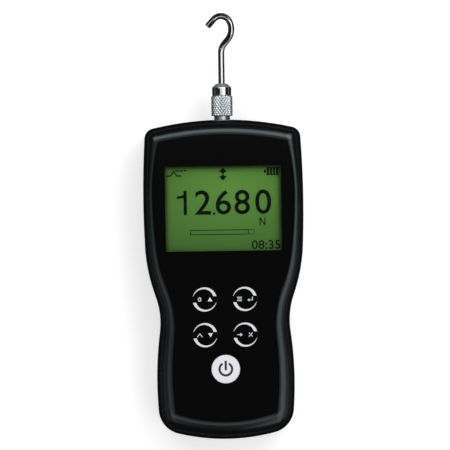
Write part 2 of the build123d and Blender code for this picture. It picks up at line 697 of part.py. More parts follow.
inner_width = BEZEL_WIDTH - 2 * BEZEL_SHEET
inner_height = BEZEL_HEIGHT - 2 * BEZEL_SHEET
with BuildPart() as display_bezel:
    with BuildSketch(Plane.XY.offset(BOARD_FRONT)):
        with Locations((0, DISPLAY_Y)):
            Rectangle(BEZEL_WIDTH, BEZEL_HEIGHT)
    extrude(amount=FRONT_WALL_BACK - BOARD_FRONT)
    with BuildSketch(Plane.XY.offset(BOARD_FRONT)):
        with Locations((0, DISPLAY_Y)):
            Rectangle(inner_width, inner_height)
    extrude(amount=BACKLIGHT_THICKNESS + GLASS_THICKNESS, mode=Mode.SUBTRACT)
    with BuildSketch(Plane.XY.offset(BOARD_FRONT)):
        with Locations((0, DISPLAY_Y)):
            Rectangle(APERTURE_WIDTH + 2 * OPENING_MARGIN, APERTURE_HEIGHT + 2 * OPENING_MARGIN)
    extrude(amount=BODY_DEPTH, mode=Mode.SUBTRACT)
finish(display_bezel.part, "display_bezel")

with BuildPart() as display_backlight:
    with BuildSketch(Plane.XY.offset(BOARD_FRONT)):
        with Locations((0, DISPLAY_Y)):
            Rectangle(inner_width - 2 * GLASS_FIT, inner_height - 2 * GLASS_FIT)
    extrude(amount=BACKLIGHT_THICKNESS)
finish(display_backlight.part, "display_backlight")

with BuildPart() as display_glass:
    with BuildSketch(Plane.XY.offset(BOARD_FRONT + BACKLIGHT_THICKNESS)):
        with Locations((0, DISPLAY_Y)):
            Rectangle(inner_width - 2 * GLASS_FIT, inner_height - 2 * GLASS_FIT)
    extrude(amount=GLASS_THICKNESS)
finish(display_glass.part, "display_glass")

with BuildPart() as display_board:
    with BuildSketch(Plane.XY.offset(BOARD_BACK)):
        with Locations((0, DISPLAY_Y)):
            RectangleRounded(DISPLAY_BOARD_WIDTH, DISPLAY_BOARD_HEIGHT, BOARD_CORNER)
        with Locations(*display_screws_at):
            Circle(BOARD_SCREW_RADIUS + SCREW_CLEARANCE, mode=Mode.SUBTRACT)
    extrude(amount=BOARD_THICKNESS)
finish(display_board.part, "display_board")

# ------------------------------------------------------------------ keys
for name, (x, y, radius) in KEY_PLACES.items():
    with BuildPart() as key:
        rod([(x, y)], radius, KEY_FLANGE_BACK, OVERLAY_FRONT)
        fillet(key.faces().sort_by(Axis.Z)[-1].edges(), KEY_EDGE_RADIUS)
        rod([(x, y)], radius + KEY_FLANGE, KEY_FLANGE_BACK, KEY_FLANGE_FRONT)
        rod([(x, y)], KEY_STEM_RADIUS, STEM_END, KEY_FLANGE_BACK)
        rod([(x, y)], PLUNGER_RADIUS, SWITCH_FRONT - PLUNGER_REACH, STEM_END)
    finish(key.part, name)

keys_at = [(x, y) for x, y, radius in KEY_PLACES.values()]
with BuildPart() as tact_switches:
    with BuildSketch(Plane.XY.offset(BOARD_FRONT)):
        with Locations(*keys_at):
            Rectangle(SWITCH_SIZE, SWITCH_SIZE)
    extrude(amount=SWITCH_HEIGHT)
    rod(
        keys_at,
        PLUNGER_RADIUS + PLUNGER_GAP,
        SWITCH_FRONT - PLUNGER_REACH - KEY_TRAVEL - KEY_OVERTRAVEL,
        SWITCH_FRONT,
        Mode.SUBTRACT,
    )
finish(tact_switches.part, "tact_switches")

# ------------------------------------------------------------------ main board
with BuildPart() as main_board:
    with BuildSketch(Plane.XY.offset(BOARD_BACK)):
        case_outline.draw(MAIN_BOARD_INSET)
        with Locations((0, MAIN_BOARD_EDGE - BODY_LENGTH / 2)):
            Rectangle(BODY_WIDTH, BODY_LENGTH, mode=Mode.INTERSECT)
        with Locations(*case_screws_at):
            Circle(FRONT_COLUMN_RADIUS + COLUMN_GAP, mode=Mode.SUBTRACT)
        with Locations(*main_screws_at):
            Circle(BOARD_SCREW_RADIUS + SCREW_CLEARANCE, mode=Mode.SUBTRACT)
    extrude(amount=BOARD_THICKNESS)
finish(main_board.part, "main_board")

with BuildPart() as board_screws:
    rod(board_screws_at, BOARD_SCREW_RADIUS, BOARD_BACK, BOARD_BACK + BOARD_SCREW_LENGTH)
    rod(board_screws_at, BOARD_HEAD_RADIUS, BOARD_BACK - BOARD_HEAD_HEIGHT, BOARD_BACK)
finish(board_screws.part, "board_screws")

with BuildPart() as board_connector:
    with BuildSketch(Plane.XY.offset(BOARD_BACK)):
        with Locations((0, MAIN_BOARD_EDGE + CONNECTOR_RISE)):
            Rectangle(CONNECTOR_SIZE[0], CONNECTOR_SIZE[1])
    extrude(amount=-CONNECTOR_SIZE[2])
finish(board_connector.part, "board_connector")

with BuildPart() as board_chips:
    for level, chips in ((DISPLAY_Y, DISPLAY_CHIPS), (MAIN_BOARD_EDGE, MAIN_CHIPS)):
        with BuildSketch(Plane.XY.offset(BOARD_BACK)):
            for x, y, width, height in chips:
                with Locations((x, level + y)):
                    Rectangle(width, height)
        extrude(amount=-CHIP_HEIGHT)
finish(board_chips.part, "board_chips")

buzzer_at = (BUZZER_X, TOP - BUZZER_BELOW_TOP)
buzzer_back = BOARD_BACK - BUZZER_HEIGHT
with BuildPart() as buzzer:
    rod([buzzer_at], BUZZER_RADIUS, buzzer_back, BOARD_BACK)
    rod([buzzer_at], BUZZER_HOLE_RADIUS, buzzer_back, buzzer_back + BUZZER_HOLE_DEPTH, Mode.SUBTRACT)
finish(buzzer.part, "buzzer")

socket_mouth = BOTTOM + SOCKET_SET_BACK
socket_middle = BOARD_BACK - SOCKET_HEIGHT / 2
with BuildPart() as data_socket:
    block(
        (-SOCKET_WIDTH / 2, SOCKET_WIDTH / 2),
        (socket_mouth, socket_mouth + SOCKET_DEPTH),
        (BOARD_BACK - SOCKET_HEIGHT, BOARD_BACK),
    )
    fillet(data_socket.edges().filter_by(Axis.Y).group_by(Axis.Z)[0], SOCKET_CORNER)
    block(
        (-SOCKET_WIDTH / 2 + SOCKET_SHEET, SOCKET_WIDTH / 2 - SOCKET_SHEET),
        (socket_mouth, socket_mouth + SOCKET_DEPTH - SOCKET_FLOOR),
        (BOARD_BACK - SOCKET_HEIGHT + 2 * SOCKET_SHEET, BOARD_BACK - SOCKET_SHEET),
        Mode.SUBTRACT,
    )
    block(
        (-SOCKET_TONGUE_WIDTH / 2, SOCKET_TONGUE_WIDTH / 2),
        (socket_mouth + SOCKET_TONGUE_SET_BACK, socket_mouth + SOCKET_DEPTH - SOCKET_FLOOR / 2),
        (socket_middle - SOCKET_TONGUE_THICKNESS / 2, socket_middle + SOCKET_TONGUE_THICKNESS / 2),
    )
finish(data_socket.part, "data_socket")

# ------------------------------------------------------------------ case screws and inserts
with BuildPart() as case_inserts:
    rod(case_screws_at, INSERT_RADIUS, PARTING_HEIGHT, PARTING_HEIGHT + INSERT_LENGTH)
    rod(case_screws_at, CASE_SCREW_RADIUS, PARTING_HEIGHT, PARTING_HEIGHT + INSERT_LENGTH, Mode.SUBTRACT)
finish(case_inserts.part, "case_inserts")

with BuildPart() as case_screws:
    rod(case_screws_at, CASE_SCREW_RADIUS, CASE_WELL_DEPTH, CASE_WELL_DEPTH + CASE_SCREW_LENGTH)
    rod(case_screws_at, CASE_HEAD_RADIUS, CASE_WELL_DEPTH - CASE_HEAD_HEIGHT, CASE_WELL_DEPTH)
finish(case_screws.part, "case_screws")

# ------------------------------------------------------------------ chassis plate
with BuildPart() as chassis_plate:
    with BuildSketch(Plane.XY.offset(PLATE_BACK)):
        with Locations((0, (PLATE_TOP + PLATE_BOTTOM) / 2)):
            RectangleRounded(PLATE_WIDTH, PLATE_TOP - PLATE_BOTTOM, PLATE_CORNER)
        with Locations((0, (CELL_TOP + CELL_BOTTOM + CELL_ARM) / 2)):
            RectangleRounded(PLATE_WIDTH / 2, CELL_LENGTH / 2, PLATE_CORNER, mode=Mode.SUBTRACT)
    extrude(amount=PLATE_THICKNESS)
    rod(stand_holes_at, STAND_BOSS_RADIUS, 0, PLATE_BACK)
    rod(stand_holes_at, STAND_HOLE_RADIUS, 0, PLATE_FRONT, Mode.SUBTRACT)
    rod(
        plate_screws_at, PLATE_SCREW_RADIUS + SCREW_CLEARANCE, PLATE_BACK, PLATE_FRONT, Mode.SUBTRACT
    )
    rod(cell_screws_at, CELL_SCREW_RADIUS, PLATE_BACK, PLATE_FRONT, Mode.SUBTRACT)
finish(chassis_plate.part, "chassis_plate")

with BuildPart() as chassis_screws:
    rod(plate_screws_at, PLATE_SCREW_RADIUS, PLATE_BACK - PLATE_SCREW_BITE, PLATE_FRONT)
    rod(plate_screws_at, PLATE_HEAD_RADIUS, PLATE_FRONT, PLATE_FRONT + PLATE_HEAD_HEIGHT)
finish(chassis_screws.part, "chassis_screws")

# ------------------------------------------------------------------ load cell
with BuildPart() as cell_spacer:
    with BuildSketch(Plane.XY.offset(PLATE_FRONT)):
        with Locations((0, CELL_BOTTOM + SPACER_LENGTH / 2)):
            Rectangle(SPACER_WIDTH, SPACER_LENGTH)
        with Locations(*cell_screws_at):
            Circle(CELL_SCREW_RADIUS, mode=Mode.SUBTRACT)
    extrude(amount=CELL_BACK - PLATE_FRONT)
finish(cell_spacer.part, "cell_spacer")

cell_middle = CELL_BOTTOM + CELL_LENGTH / 2
cell_half = CELL_WIDTH / 2
slot_length = CELL_WIDTH - CELL_BRIDGE
with BuildPart() as load_cell:
    # the S: two cuts from opposite sides and two eyes joined by a slot between them
    with BuildSketch(Plane.XY.offset(CELL_BACK)):
        with Locations((0, cell_middle)):
            Rectangle(CELL_WIDTH, CELL_LENGTH)
        for side in (-1, 1):
            rise = side * (CELL_LENGTH / 2 - CELL_ARM - CELL_SLOT / 2)
            with Locations((-side * CELL_BRIDGE / 2, cell_middle + rise)):
                Rectangle(slot_length, CELL_SLOT, mode=Mode.SUBTRACT)
        with Locations((-CELL_EYE_X, cell_middle), (CELL_EYE_X, cell_middle)):
            Circle(CELL_EYE_RADIUS, mode=Mode.SUBTRACT)
        with Locations((0, cell_middle)):
            Rectangle(2 * CELL_EYE_X, CELL_EYE_SLOT, mode=Mode.SUBTRACT)
    extrude(amount=CELL_THICKNESS)
    rod(cell_screws_at, CELL_SCREW_RADIUS, CELL_BACK, CELL_FRONT, Mode.SUBTRACT)
    rod(
        cell_screws_at,
        CELL_HEAD_RADIUS + CELL_HEAD_CLEARANCE,
        CELL_FRONT - CELL_HEAD_HEIGHT,
        CELL_FRONT,
        Mode.SUBTRACT,
    )
    with BuildSketch(across_load.offset(CELL_TOP - CELL_BORE_DEPTH)):
        Circle(THREAD_RADIUS)
    extrude(amount=CELL_BORE_DEPTH, mode=Mode.SUBTRACT)
finish(load_cell.part, "load_cell")

with BuildPart() as cell_screws:
    rod(cell_screws_at, CELL_SCREW_RADIUS, PLATE_BACK, CELL_FRONT - CELL_HEAD_HEIGHT)
    rod(cell_screws_at, CELL_HEAD_RADIUS, CELL_FRONT - CELL_HEAD_HEIGHT, CELL_FRONT)
    with BuildSketch(Plane.XY.offset(CELL_FRONT)):
        with Locations(*cell_screws_at):
            RegularPolygon(CELL_HEX_RADIUS, 6)
    extrude(amount=-CELL_HEX_DEPTH, mode=Mode.SUBTRACT)
finish(cell_screws.part, "cell_screws")

# ------------------------------------------------------------------ shaft, guard ring and nut
shaft_end = CELL_TOP - CELL_BORE_DEPTH + SHAFT_END_GAP
shoulder_start = CELL_TOP + SHAFT_TRAVEL
shoulder_end = TOP + SHAFT_NECK
stud_end = shoulder_end + SHAFT_STUD
with BuildPart() as sensing_shaft:
    with BuildSketch(load_plane):
        with BuildLine():
            Polyline(
                (0, shaft_end),
                (THREAD_RADIUS - THREAD_CLEARANCE, shaft_end),
                (THREAD_RADIUS - THREAD_CLEARANCE, shoulder_start),
                (SHAFT_RADIUS, shoulder_start),
                (SHAFT_RADIUS, shoulder_end),
                (THREAD_RADIUS, shoulder_end),
                (THREAD_RADIUS, stud_end - STUD_CHAMFER),
                (THREAD_RADIUS - STUD_CHAMFER, stud_end),
                (0, stud_end),
                close=True,
            )
        make_face()
    revolve(axis=Axis((0, 0, LOAD_AXIS_HEIGHT), (0, 1, 0)))
finish(sensing_shaft.part, "sensing_shaft")

wall_inside = TOP - WALL
guard_start = wall_inside - GUARD_FLANGE_GAP - GUARD_FLANGE_THICKNESS
guard_end = TOP - GUARD_SET_BACK
with BuildPart() as guard_ring:
    with BuildSketch(across_load.offset(guard_start)):
        Circle(GUARD_FLANGE_RADIUS)
        Circle(GUARD_BORE_RADIUS, mode=Mode.SUBTRACT)
    extrude(amount=GUARD_FLANGE_THICKNESS)
    with BuildSketch(across_load.offset(guard_start)):
        Circle(GUARD_RADIUS)
        Circle(GUARD_BORE_RADIUS, mode=Mode.SUBTRACT)
    extrude(amount=guard_end - guard_start)
finish(guard_ring.part, "guard_ring")

nut_start = shoulder_end + THREAD_CLEARANCE
nut_end = nut_start + NUT_LENGTH
with BuildPart() as lock_nut:
    with BuildSketch(across_load.offset(nut_start)):
        Circle(NUT_RADIUS)
    extrude(amount=NUT_LENGTH)
    chamfer(lock_nut.edges(), NUT_CHAMFER)
    with BuildSketch(across_load.offset(nut_start)):
        Circle(THREAD_RADIUS + THREAD_CLEARANCE)
    extrude(amount=NUT_LENGTH, mode=Mode.SUBTRACT)
finish(lock_nut.part, "lock_nut")

# ------------------------------------------------------------------ hook
ferrule_start = nut_end + FACE_GAP
cone_start = ferrule_start + FERRULE_LENGTH
ferrule_end = cone_start + FERRULE_CONE
bore_end = stud_end + STUD_END_GAP
wire_start = bore_end + FERRULE_FLOOR
with BuildPart() as hook_ferrule:
    with BuildSketch(load_plane):
        with BuildLine():
            Polyline(
                (THREAD_RADIUS + THREAD_CLEARANCE, ferrule_start),
                (FERRULE_RADIUS, ferrule_start),
                (FERRULE_RADIUS, cone_start),
                (FERRULE_TIP_RADIUS, ferrule_end),
                (WIRE_RADIUS, ferrule_end),
                (WIRE_RADIUS, wire_start),
                (0, wire_start),
                (0, bore_end),
                (THREAD_RADIUS + THREAD_CLEARANCE, bore_end),
                close=True,
            )
        make_face()
    revolve(axis=Axis((0, 0, LOAD_AXIS_HEIGHT), (0, 1, 0)))
finish(hook_ferrule.part, "hook_ferrule")

with BuildPart() as hook_wire:
    with BuildLine(load_plane) as hook_path:
        shank = Line((0, wire_start), (0, wire_start + HOOK_SHANK))
        swing = JernArc(shank @ 1, shank % 1, HOOK_SWING_RADIUS, -HOOK_LEAN)
        rise = Line(swing @ 1, swing @ 1 + (swing % 1) * HOOK_RISE)
        side = JernArc(rise @ 1, rise % 1, HOOK_SIDE_RADIUS, HOOK_SIDE_TURN)
        crown = JernArc(side @ 1, side % 1, HOOK_CROWN_RADIUS, HOOK_CROWN_TURN)
        tip = Line(crown @ 1, crown @ 1 + (crown % 1) * HOOK_TIP)
    with BuildSketch(across_load.offset(wire_start)):
        Circle(WIRE_RADIUS)
    sweep(path=hook_path.wires()[0])
    tip_face = hook_wire.faces().filter_by(GeomType.PLANE).sort_by_distance(tip @ 1)[0]
    fillet(tip_face.edges(), HOOK_TIP_ROUND)
finish(hook_wire.part, "hook_wire")

# ------------------------------------------------------------------ batteries
# every second cell points the other way
nub_planes = []
spring_planes = []
for i in range(CELL_COUNT):
    x = (i - (CELL_COUNT - 1) / 2) * BATTERY_PITCH
    up = 1 if i % 2 == 0 else -1
    nub_wall = BAY_TOP if up == 1 else BAY_BOTTOM
    spring_wall = BAY_BOTTOM if up == 1 else BAY_TOP
    nub_planes.append(Plane((x, nub_wall, BATTERY_AXIS_HEIGHT), x_dir=(1, 0, 0), z_dir=(0, -up, 0)))
    spring_planes.append(Plane((x, spring_wall, BATTERY_AXIS_HEIGHT), x_dir=(1, 0, 0), z_dir=(0, up, 0)))
nub_offset = CONTACT_SHEET + CONTACT_BUMP_HEIGHT
spring_length = BAY_LENGTH - nub_offset - BATTERY_NUB_LENGTH - BATTERY_LENGTH - CONTACT_SHEET

with BuildPart() as battery_cells:
    for plane in nub_planes:
        with BuildSketch(plane.offset(nub_offset)):
            Circle(BATTERY_NUB_RADIUS)
        extrude(amount=BATTERY_NUB_LENGTH)
        with BuildSketch(plane.offset(nub_offset + BATTERY_NUB_LENGTH)):
            Circle(BATTERY_RADIUS)
        extrude(amount=BATTERY_LENGTH)
finish(battery_cells.part, "battery_cells")

with BuildPart() as battery_contacts:
    for plane in nub_planes + spring_planes:
        with BuildSketch(plane):
            Rectangle(CONTACT_SIZE, CONTACT_SIZE)
        extrude(amount=CONTACT_SHEET)
    for plane in nub_planes:
        with BuildSketch(plane.offset(CONTACT_SHEET)):
            Circle(CONTACT_BUMP_RADIUS)
        extrude(amount=CONTACT_BUMP_HEIGHT)
    for plane in spring_planes:
        with BuildSketch(plane.offset(CONTACT_SHEET)):
            Circle(SPRING_FOOT_RADIUS)
        with BuildSketch(plane.offset(CONTACT_SHEET + spring_length)):
            Circle(SPRING_TIP_RADIUS)
        loft(ruled=True)
finish(battery_contacts.part, "battery_contacts")
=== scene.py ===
from math import asin, atan2, cos, pi, radians, sin, tan

import bmesh
import bpy
from mathutils import Matrix, Vector


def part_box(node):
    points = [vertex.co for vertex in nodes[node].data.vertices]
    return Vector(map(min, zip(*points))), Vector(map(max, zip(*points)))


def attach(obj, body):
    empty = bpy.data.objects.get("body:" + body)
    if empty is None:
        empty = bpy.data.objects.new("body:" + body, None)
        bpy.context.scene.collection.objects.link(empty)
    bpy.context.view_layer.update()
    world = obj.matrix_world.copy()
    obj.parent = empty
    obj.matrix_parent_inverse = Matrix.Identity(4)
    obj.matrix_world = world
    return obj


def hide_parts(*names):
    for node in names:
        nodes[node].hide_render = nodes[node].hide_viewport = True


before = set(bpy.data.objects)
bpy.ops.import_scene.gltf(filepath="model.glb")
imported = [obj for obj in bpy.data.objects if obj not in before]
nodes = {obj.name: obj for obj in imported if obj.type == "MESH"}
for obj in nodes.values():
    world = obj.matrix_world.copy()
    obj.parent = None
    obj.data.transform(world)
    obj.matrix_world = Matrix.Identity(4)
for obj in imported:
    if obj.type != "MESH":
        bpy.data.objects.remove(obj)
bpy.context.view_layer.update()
MM = 0.001

# ---------------------------------------------------------------------------------------------
# Rear shell and battery cover. The back half of the case, and the cover that slides onto it,
# are injection moulded in black ABS. The mould was spark eroded, which leaves an even grain.
# ---------------------------------------------------------------------------------------------


def paint(hex_colour):
    """An sRGB hex colour as the linear colour that Blender works in."""
    channels = [int(hex_colour[i : i + 2], 16) / 255 for i in (1, 3, 5)]
    linear = [c / 12.92 if c <= 0.04045 else ((c + 0.055) / 1.055) ** 2.4 for c in channels]
    return (*linear, 1.0)


def add_node(owner, kind, inputs=None, **settings):
    """Adds a shader node to a material or a world.

    inputs holds, for each socket, a value to set or an output socket to link.
    """
    node = owner.node_tree.nodes.new(kind)
    for name, value in settings.items():
        setattr(node, name, value)
    for name, value in (inputs or {}).items():
        if isinstance(value, bpy.types.NodeSocket):
            owner.node_tree.links.new(value, node.inputs[name])
        else:
            node.inputs[name].default_value = value
    return node


def surface(name, colours, grain, relief, roughness, stretch=(1, 1, 1), **fixed):
    """A finish whose colour, roughness and relief all follow one grain of a real size.

    grain and relief are in metres. A stretch below 1 draws the grain out along that axis.
    fixed holds constants for the shader's sockets, with _ for each space in a name.
    """
    material = bpy.data.materials.new(name)
    material.use_nodes = True
    links = material.node_tree.links
    shader = material.node_tree.nodes["Principled BSDF"]
    place = add_node(material, "ShaderNodeTexCoord").outputs["Object"]
    stretched = add_node(material, "ShaderNodeMapping", {"Vector": place, "Scale": stretch})
    noise = add_node(
        material,
        "ShaderNodeTexNoise",
        {"Vector": stretched.outputs["Vector"], "Scale": 1 / grain, "Detail": 3.0},
    ).outputs["Fac"]
    colour = add_node(
        material,
        "ShaderNodeMixRGB",
        {"Fac": noise, "Color1": paint(colours[0]), "Color2": paint(colours[1])},
    )
    spread = add_node(
        material,
        "ShaderNodeMapRange",
        {"Value": noise, "To Min": roughness[0], "To Max": roughness[1]},
    )
    bump = add_node(material, "ShaderNodeBump", {"Height": noise, "Distance": relief})
    links.new(colour.outputs["Color"], shader.inputs["Base Color"])
    links.new(spread.outputs["Result"], shader.inputs["Roughness"])
    links.new(bump.outputs["Normal"], shader.inputs["Normal"])
    for socket, value in fixed.items():
        shader.inputs[socket.replace("_", " ")].default_value = value
    return material


def dress(material, *names):
    """Gives CAD nodes a finish in place of the plain one in their slots."""
    for name in names:
        for material_slot in nodes[name].material_slots:
            material_slot.material = material


# Deep black with a soft, slightly cool sheen: the grain blurs what the plastic reflects.
moulded_abs = surface(
    "moulded_black_abs",
    colours=("#090A0A", "#0C0D0E"),
    grain=0.5 * MM,  # 0.1 mm in the mould, drawn coarser so that it shows
    relief=0.001 * MM,
    roughness=(0.19, 0.25),
    IOR=1.52,
    Specular_Tint=paint("#E8FCFF"),
)
dress(moulded_abs, "rear_shell", "battery_cover")

# ---------------------------------------------------------------------------------------------
# Chassis plate and load cell. The plate is milled from aluminium, with the four tapped bosses
# for a test stand. The cell is an S milled from an aluminium bar, screwed on over its spacer.
# ---------------------------------------------------------------------------------------------
# Pale grey metal whose straight feed marks draw its reflections out.
milled_aluminium = surface(
    "milled_aluminium",
    colours=("#B9BCBF", "#CDD0D3"),
    grain=0.3 * MM,  # the cutter's feed
    relief=0.004 * MM,
    roughness=(0.28, 0.42),
    stretch=(0.15, 1, 1),
    Metallic=1.0,
)
dress(milled_aluminium, "chassis_plate", "load_cell", "cell_spacer")

# ---------------------------------------------------------------------------------------------
# Screws inside. They hold the chassis plate, the load cell and the boards. They are cold headed
# and rolled from steel wire, then zinc plated.
# ---------------------------------------------------------------------------------------------
# Cool grey with soft glints, a little cloudy from the passivated zinc.
zinc_plated_steel = surface(
    "zinc_plated_steel",
    colours=("#AEB4BA", "#C6CBD0"),
    grain=0.8 * MM,  # clouds in the plating
    relief=0.003 * MM,
    roughness=(0.25, 0.38),
    Metallic=1.0,
)
dress(zinc_plated_steel, "chassis_screws", "cell_screws", "board_screws")

# ---------------------------------------------------------------------------------------------
# Boards. Glass-fibre laminate under a green solder mask, with black moulded chips, connector,
# buzzer and switches and a stamped tinned socket soldered on.
# ---------------------------------------------------------------------------------------------
# Glossy green lacquer, through which the glass cloth shows faintly.
solder_mask = surface(
    "solder_masked_laminate",
    colours=("#0E4A2A", "#146036"),
    grain=0.8 * MM,  # two threads of the glass cloth
    relief=0.01 * MM,
    roughness=(0.25, 0.4),
    IOR=1.5,
    Coat_Weight=0.3,
    Coat_Roughness=0.15,
)
dress(solder_mask, "display_board", "main_board")

# Dull charcoal with a fine speckle of filler.
moulded_epoxy = surface(
    "moulded_black_epoxy",
    colours=("#151516", "#1D1D1E"),
    grain=0.3 * MM,  # the filler's grains are 0.05 mm, drawn coarser so that they show
    relief=0.01 * MM,
    roughness=(0.5, 0.65),
    IOR=1.55,
)
dress(moulded_epoxy, "board_chips", "board_connector", "buzzer", "tact_switches")

# Bright pale metal that mirrors its surroundings a little blurred.
tinned_steel = surface(
    "stamped_tinned_steel",
    colours=("#B4B6B8", "#C9CBCC"),
    grain=0.6 * MM,  # crystals in the tin
    relief=0.003 * MM,
    roughness=(0.2, 0.32),
    Metallic=1.0,
)
dress(tinned_steel, "data_socket")

# ---------------------------------------------------------------------------------------------
# Batteries. Four dry cells lie side by side in the rear shell's bay. Each steel can has a plain
# plastic jacket, shrunk on. They are held by contacts stamped from tinned steel.
# ---------------------------------------------------------------------------------------------
# Smooth blue-grey film, whose gloss changes slowly where it shrank unevenly.
cell_jacket = surface(
    "shrunk_pvc_jacket",
    colours=("#4A5157", "#545C63"),
    grain=6.0 * MM,  # waves in the shrunk film
    relief=0.01 * MM,
    roughness=(0.25, 0.35),
    IOR=1.53,
)
dress(cell_jacket, "battery_cells")
dress(tinned_steel, "battery_contacts")

# ---------------------------------------------------------------------------------------------
# Display. A graphic liquid crystal glass lies on a moulded diffuser that lights it from behind.
# A bezel folded from tinned sheet clips both to their board.
# ---------------------------------------------------------------------------------------------
GLASS_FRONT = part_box("display_glass")[1].z / MM
# painted light, standing in for the backlight's glow: its middle, and how far it reaches each way
GLOW_X = 3.0
GLOW_Y = 30.0
GLOW_REACH_X = 60.0
GLOW_REACH_Y = 32.0
# a shadow of the panel's edge, painted on the glass: the middle and the half sizes of the box that
# it follows, where it starts as a share of them, and how deep it gets
SHADE_CENTRE_Y = 20.0
SHADE_HALF_WIDTH = 27.3
SHADE_HALF_HEIGHT = 20.1
SHADE_START = 0.92
SHADE_DEPTH = 0.75

# Matt milky white, evenly bright.
diffuser_white = surface(
    "moulded_white_diffuser",
    colours=("#DADBD6", "#E4E5E1"),
    grain=1.0 * MM,  # dots on its back that spread the light
    relief=0.01 * MM,
    roughness=(0.4, 0.5),
    IOR=1.49,
)
dress(diffuser_white, "display_backlight")
dress(tinned_steel, "display_bezel")


def polarised_glass():
    """Yellow-green glass, with painted light that makes it brightest over its backlight and a
    painted shadow along the panel's edge.

    The polariser film on it is matt, so it hardly mirrors the room.
    """
    material = bpy.data.materials.new("polarised_display_glass")
    material.use_nodes = True
    links = material.node_tree.links
    shader = material.node_tree.nodes["Principled BSDF"]
    place = add_node(material, "ShaderNodeTexCoord").outputs["Object"]
    centred = add_node(
        material,
        "ShaderNodeMapping",
        {
            "Vector": place,
            "Location": (-GLOW_X / GLOW_REACH_X, -GLOW_Y / GLOW_REACH_Y, 0),
            "Scale": (1 / (GLOW_REACH_X * MM), 1 / (GLOW_REACH_Y * MM), 0),
        },
    )
    glow = add_node(
        material,
        "ShaderNodeTexGradient",
        {"Vector": centred.outputs["Vector"]},
        gradient_type="SPHERICAL",
    )
    framed = add_node(
        material,
        "ShaderNodeMapping",
        {
            "Vector": place,
            "Location": (0, -SHADE_CENTRE_Y / SHADE_HALF_HEIGHT, 0),
            "Scale": (1 / (SHADE_HALF_WIDTH * MM), 1 / (SHADE_HALF_HEIGHT * MM), 0),
        },
    )
    from_middle = add_node(
        material,
        "ShaderNodeVectorMath",
        {0: framed.outputs["Vector"]},
        operation="ABSOLUTE",
    )
    axes = add_node(material, "ShaderNodeSeparateXYZ", {0: from_middle.outputs["Vector"]})
    to_rim = add_node(
        material,
        "ShaderNodeMath",
        {0: axes.outputs["X"], 1: axes.outputs["Y"]},
        operation="MAXIMUM",
    )
    shade = add_node(
        material,
        "ShaderNodeMapRange",
        {
            "Value": to_rim.outputs["Value"],
            "From Min": SHADE_START,
            "From Max": 1.0,
            "To Max": SHADE_DEPTH,
        },
        interpolation_type="SMOOTHSTEP",
    )
    # the film was rolled on and is uneven over some 9 mm
    cloud = add_node(
        material, "ShaderNodeTexNoise", {"Vector": place, "Scale": 1 / (9 * MM), "Detail": 2.0}
    )
    spread = add_node(
        material,
        "ShaderNodeMapRange",
        {"Value": cloud.outputs["Fac"], "To Min": 0.26, "To Max": 0.34},
    )
    # painted light: the green is lightest round the painted glow's middle and darker away from it
    lit = add_node(
        material,
        "ShaderNodeMixRGB",
        {"Fac": glow.outputs["Fac"], "Color1": paint("#42682E"), "Color2": paint("#5D8E3E")},
    )
    # painted shadow: the glass darkens towards its edge, where the panel's edge would shade it
    colour = add_node(
        material,
        "ShaderNodeMixRGB",
        {
            "Fac": shade.outputs["Result"],
            "Color1": lit.outputs["Color"],
            "Color2": paint("#1C3212"),
        },
    )
    bump = add_node(
        material, "ShaderNodeBump", {"Height": cloud.outputs["Fac"], "Distance": 0.004 * MM}
    )
    links.new(colour.outputs["Color"], shader.inputs["Base Color"])
    links.new(spread.outputs["Result"], shader.inputs["Roughness"])
    links.new(bump.outputs["Normal"], shader.inputs["Normal"])
    shader.inputs["Specular IOR Level"].default_value = 0.05
    return material


dress(polarised_glass(), "display_glass")


def piece_of(mesh, name, body, *materials, crease=35):
    """Makes a finished mesh a piece of the scene that moves with a CAD body.

    An edge stays sharp where its faces turn by more than crease, in degrees.
    """
    bmesh.ops.recalc_face_normals(mesh, faces=mesh.faces)
    for face in mesh.faces:
        face.smooth = True
    for edge in mesh.edges:
        if len(edge.link_faces) == 2 and edge.calc_face_angle() > radians(crease):
            edge.smooth = False
    data = bpy.data.meshes.new(name)
    mesh.to_mesh(data)
    mesh.free()
    for material in materials:
        data.materials.append(material)
    piece = bpy.data.objects.new(name, data)
    bpy.context.scene.collection.objects.link(piece)
    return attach(piece, body)


def verts_in(made):
    """The vertices among what an operator made."""
    return [part for part in made if isinstance(part, bmesh.types.BMVert)]


def thicken(mesh, faces, thickness):
    """Raises flat faces into a solid of the given thickness."""
    raised = bmesh.ops.extrude_face_region(mesh, geom=faces)["geom"]
    bmesh.ops.translate(mesh, vec=(0, 0, thickness * MM), verts=verts_in(raised))


def sign(mesh, corners, level):
    """A flat sign with the given corners. level is the height it lies at and its thickness."""
    height, thickness = level
    points = [mesh.verts.new((x * MM, y * MM, height * MM)) for x, y in corners]
    thicken(mesh, [mesh.faces.new(points)], thickness)


def bar(mesh, left, low, right, high, level):
    """A flat rectangular sign."""
    sign(mesh, ((left, low), (right, low), (right, high), (left, high)), level)


def figures(mesh, text, left, low, right, high, level, weight=0.01):
    """Sets figures so that they fill a box exactly; weight makes their strokes bolder."""
    height, thickness = level
    curve = bpy.data.curves.new("figures", "FONT")
    curve.body = text
    curve.extrude = 0.5  # half of a solid that is 1 thick
    curve.offset = weight
    holder = bpy.data.objects.new("figures", curve)
    bpy.context.scene.collection.objects.link(holder)
    bpy.context.view_layer.update()
    set_text = holder.evaluated_get(bpy.context.evaluated_depsgraph_get())
    solid = bpy.data.meshes.new_from_object(set_text)
    xs = [v.co.x for v in solid.vertices]
    ys = [v.co.y for v in solid.vertices]
    across = (right - left) * MM / (max(xs) - min(xs))
    up = (high - low) * MM / (max(ys) - min(ys))
    place = Matrix.Translation((left * MM, low * MM, (height + thickness / 2) * MM))
    size = Matrix.Diagonal((across, up, thickness * MM, 1))
    solid.transform(place @ size @ Matrix.Translation((-min(xs), -min(ys), 0)))
    mesh.from_mesh(solid)
    bpy.data.objects.remove(holder)
    bpy.data.curves.remove(curve)
    bpy.data.meshes.remove(solid)


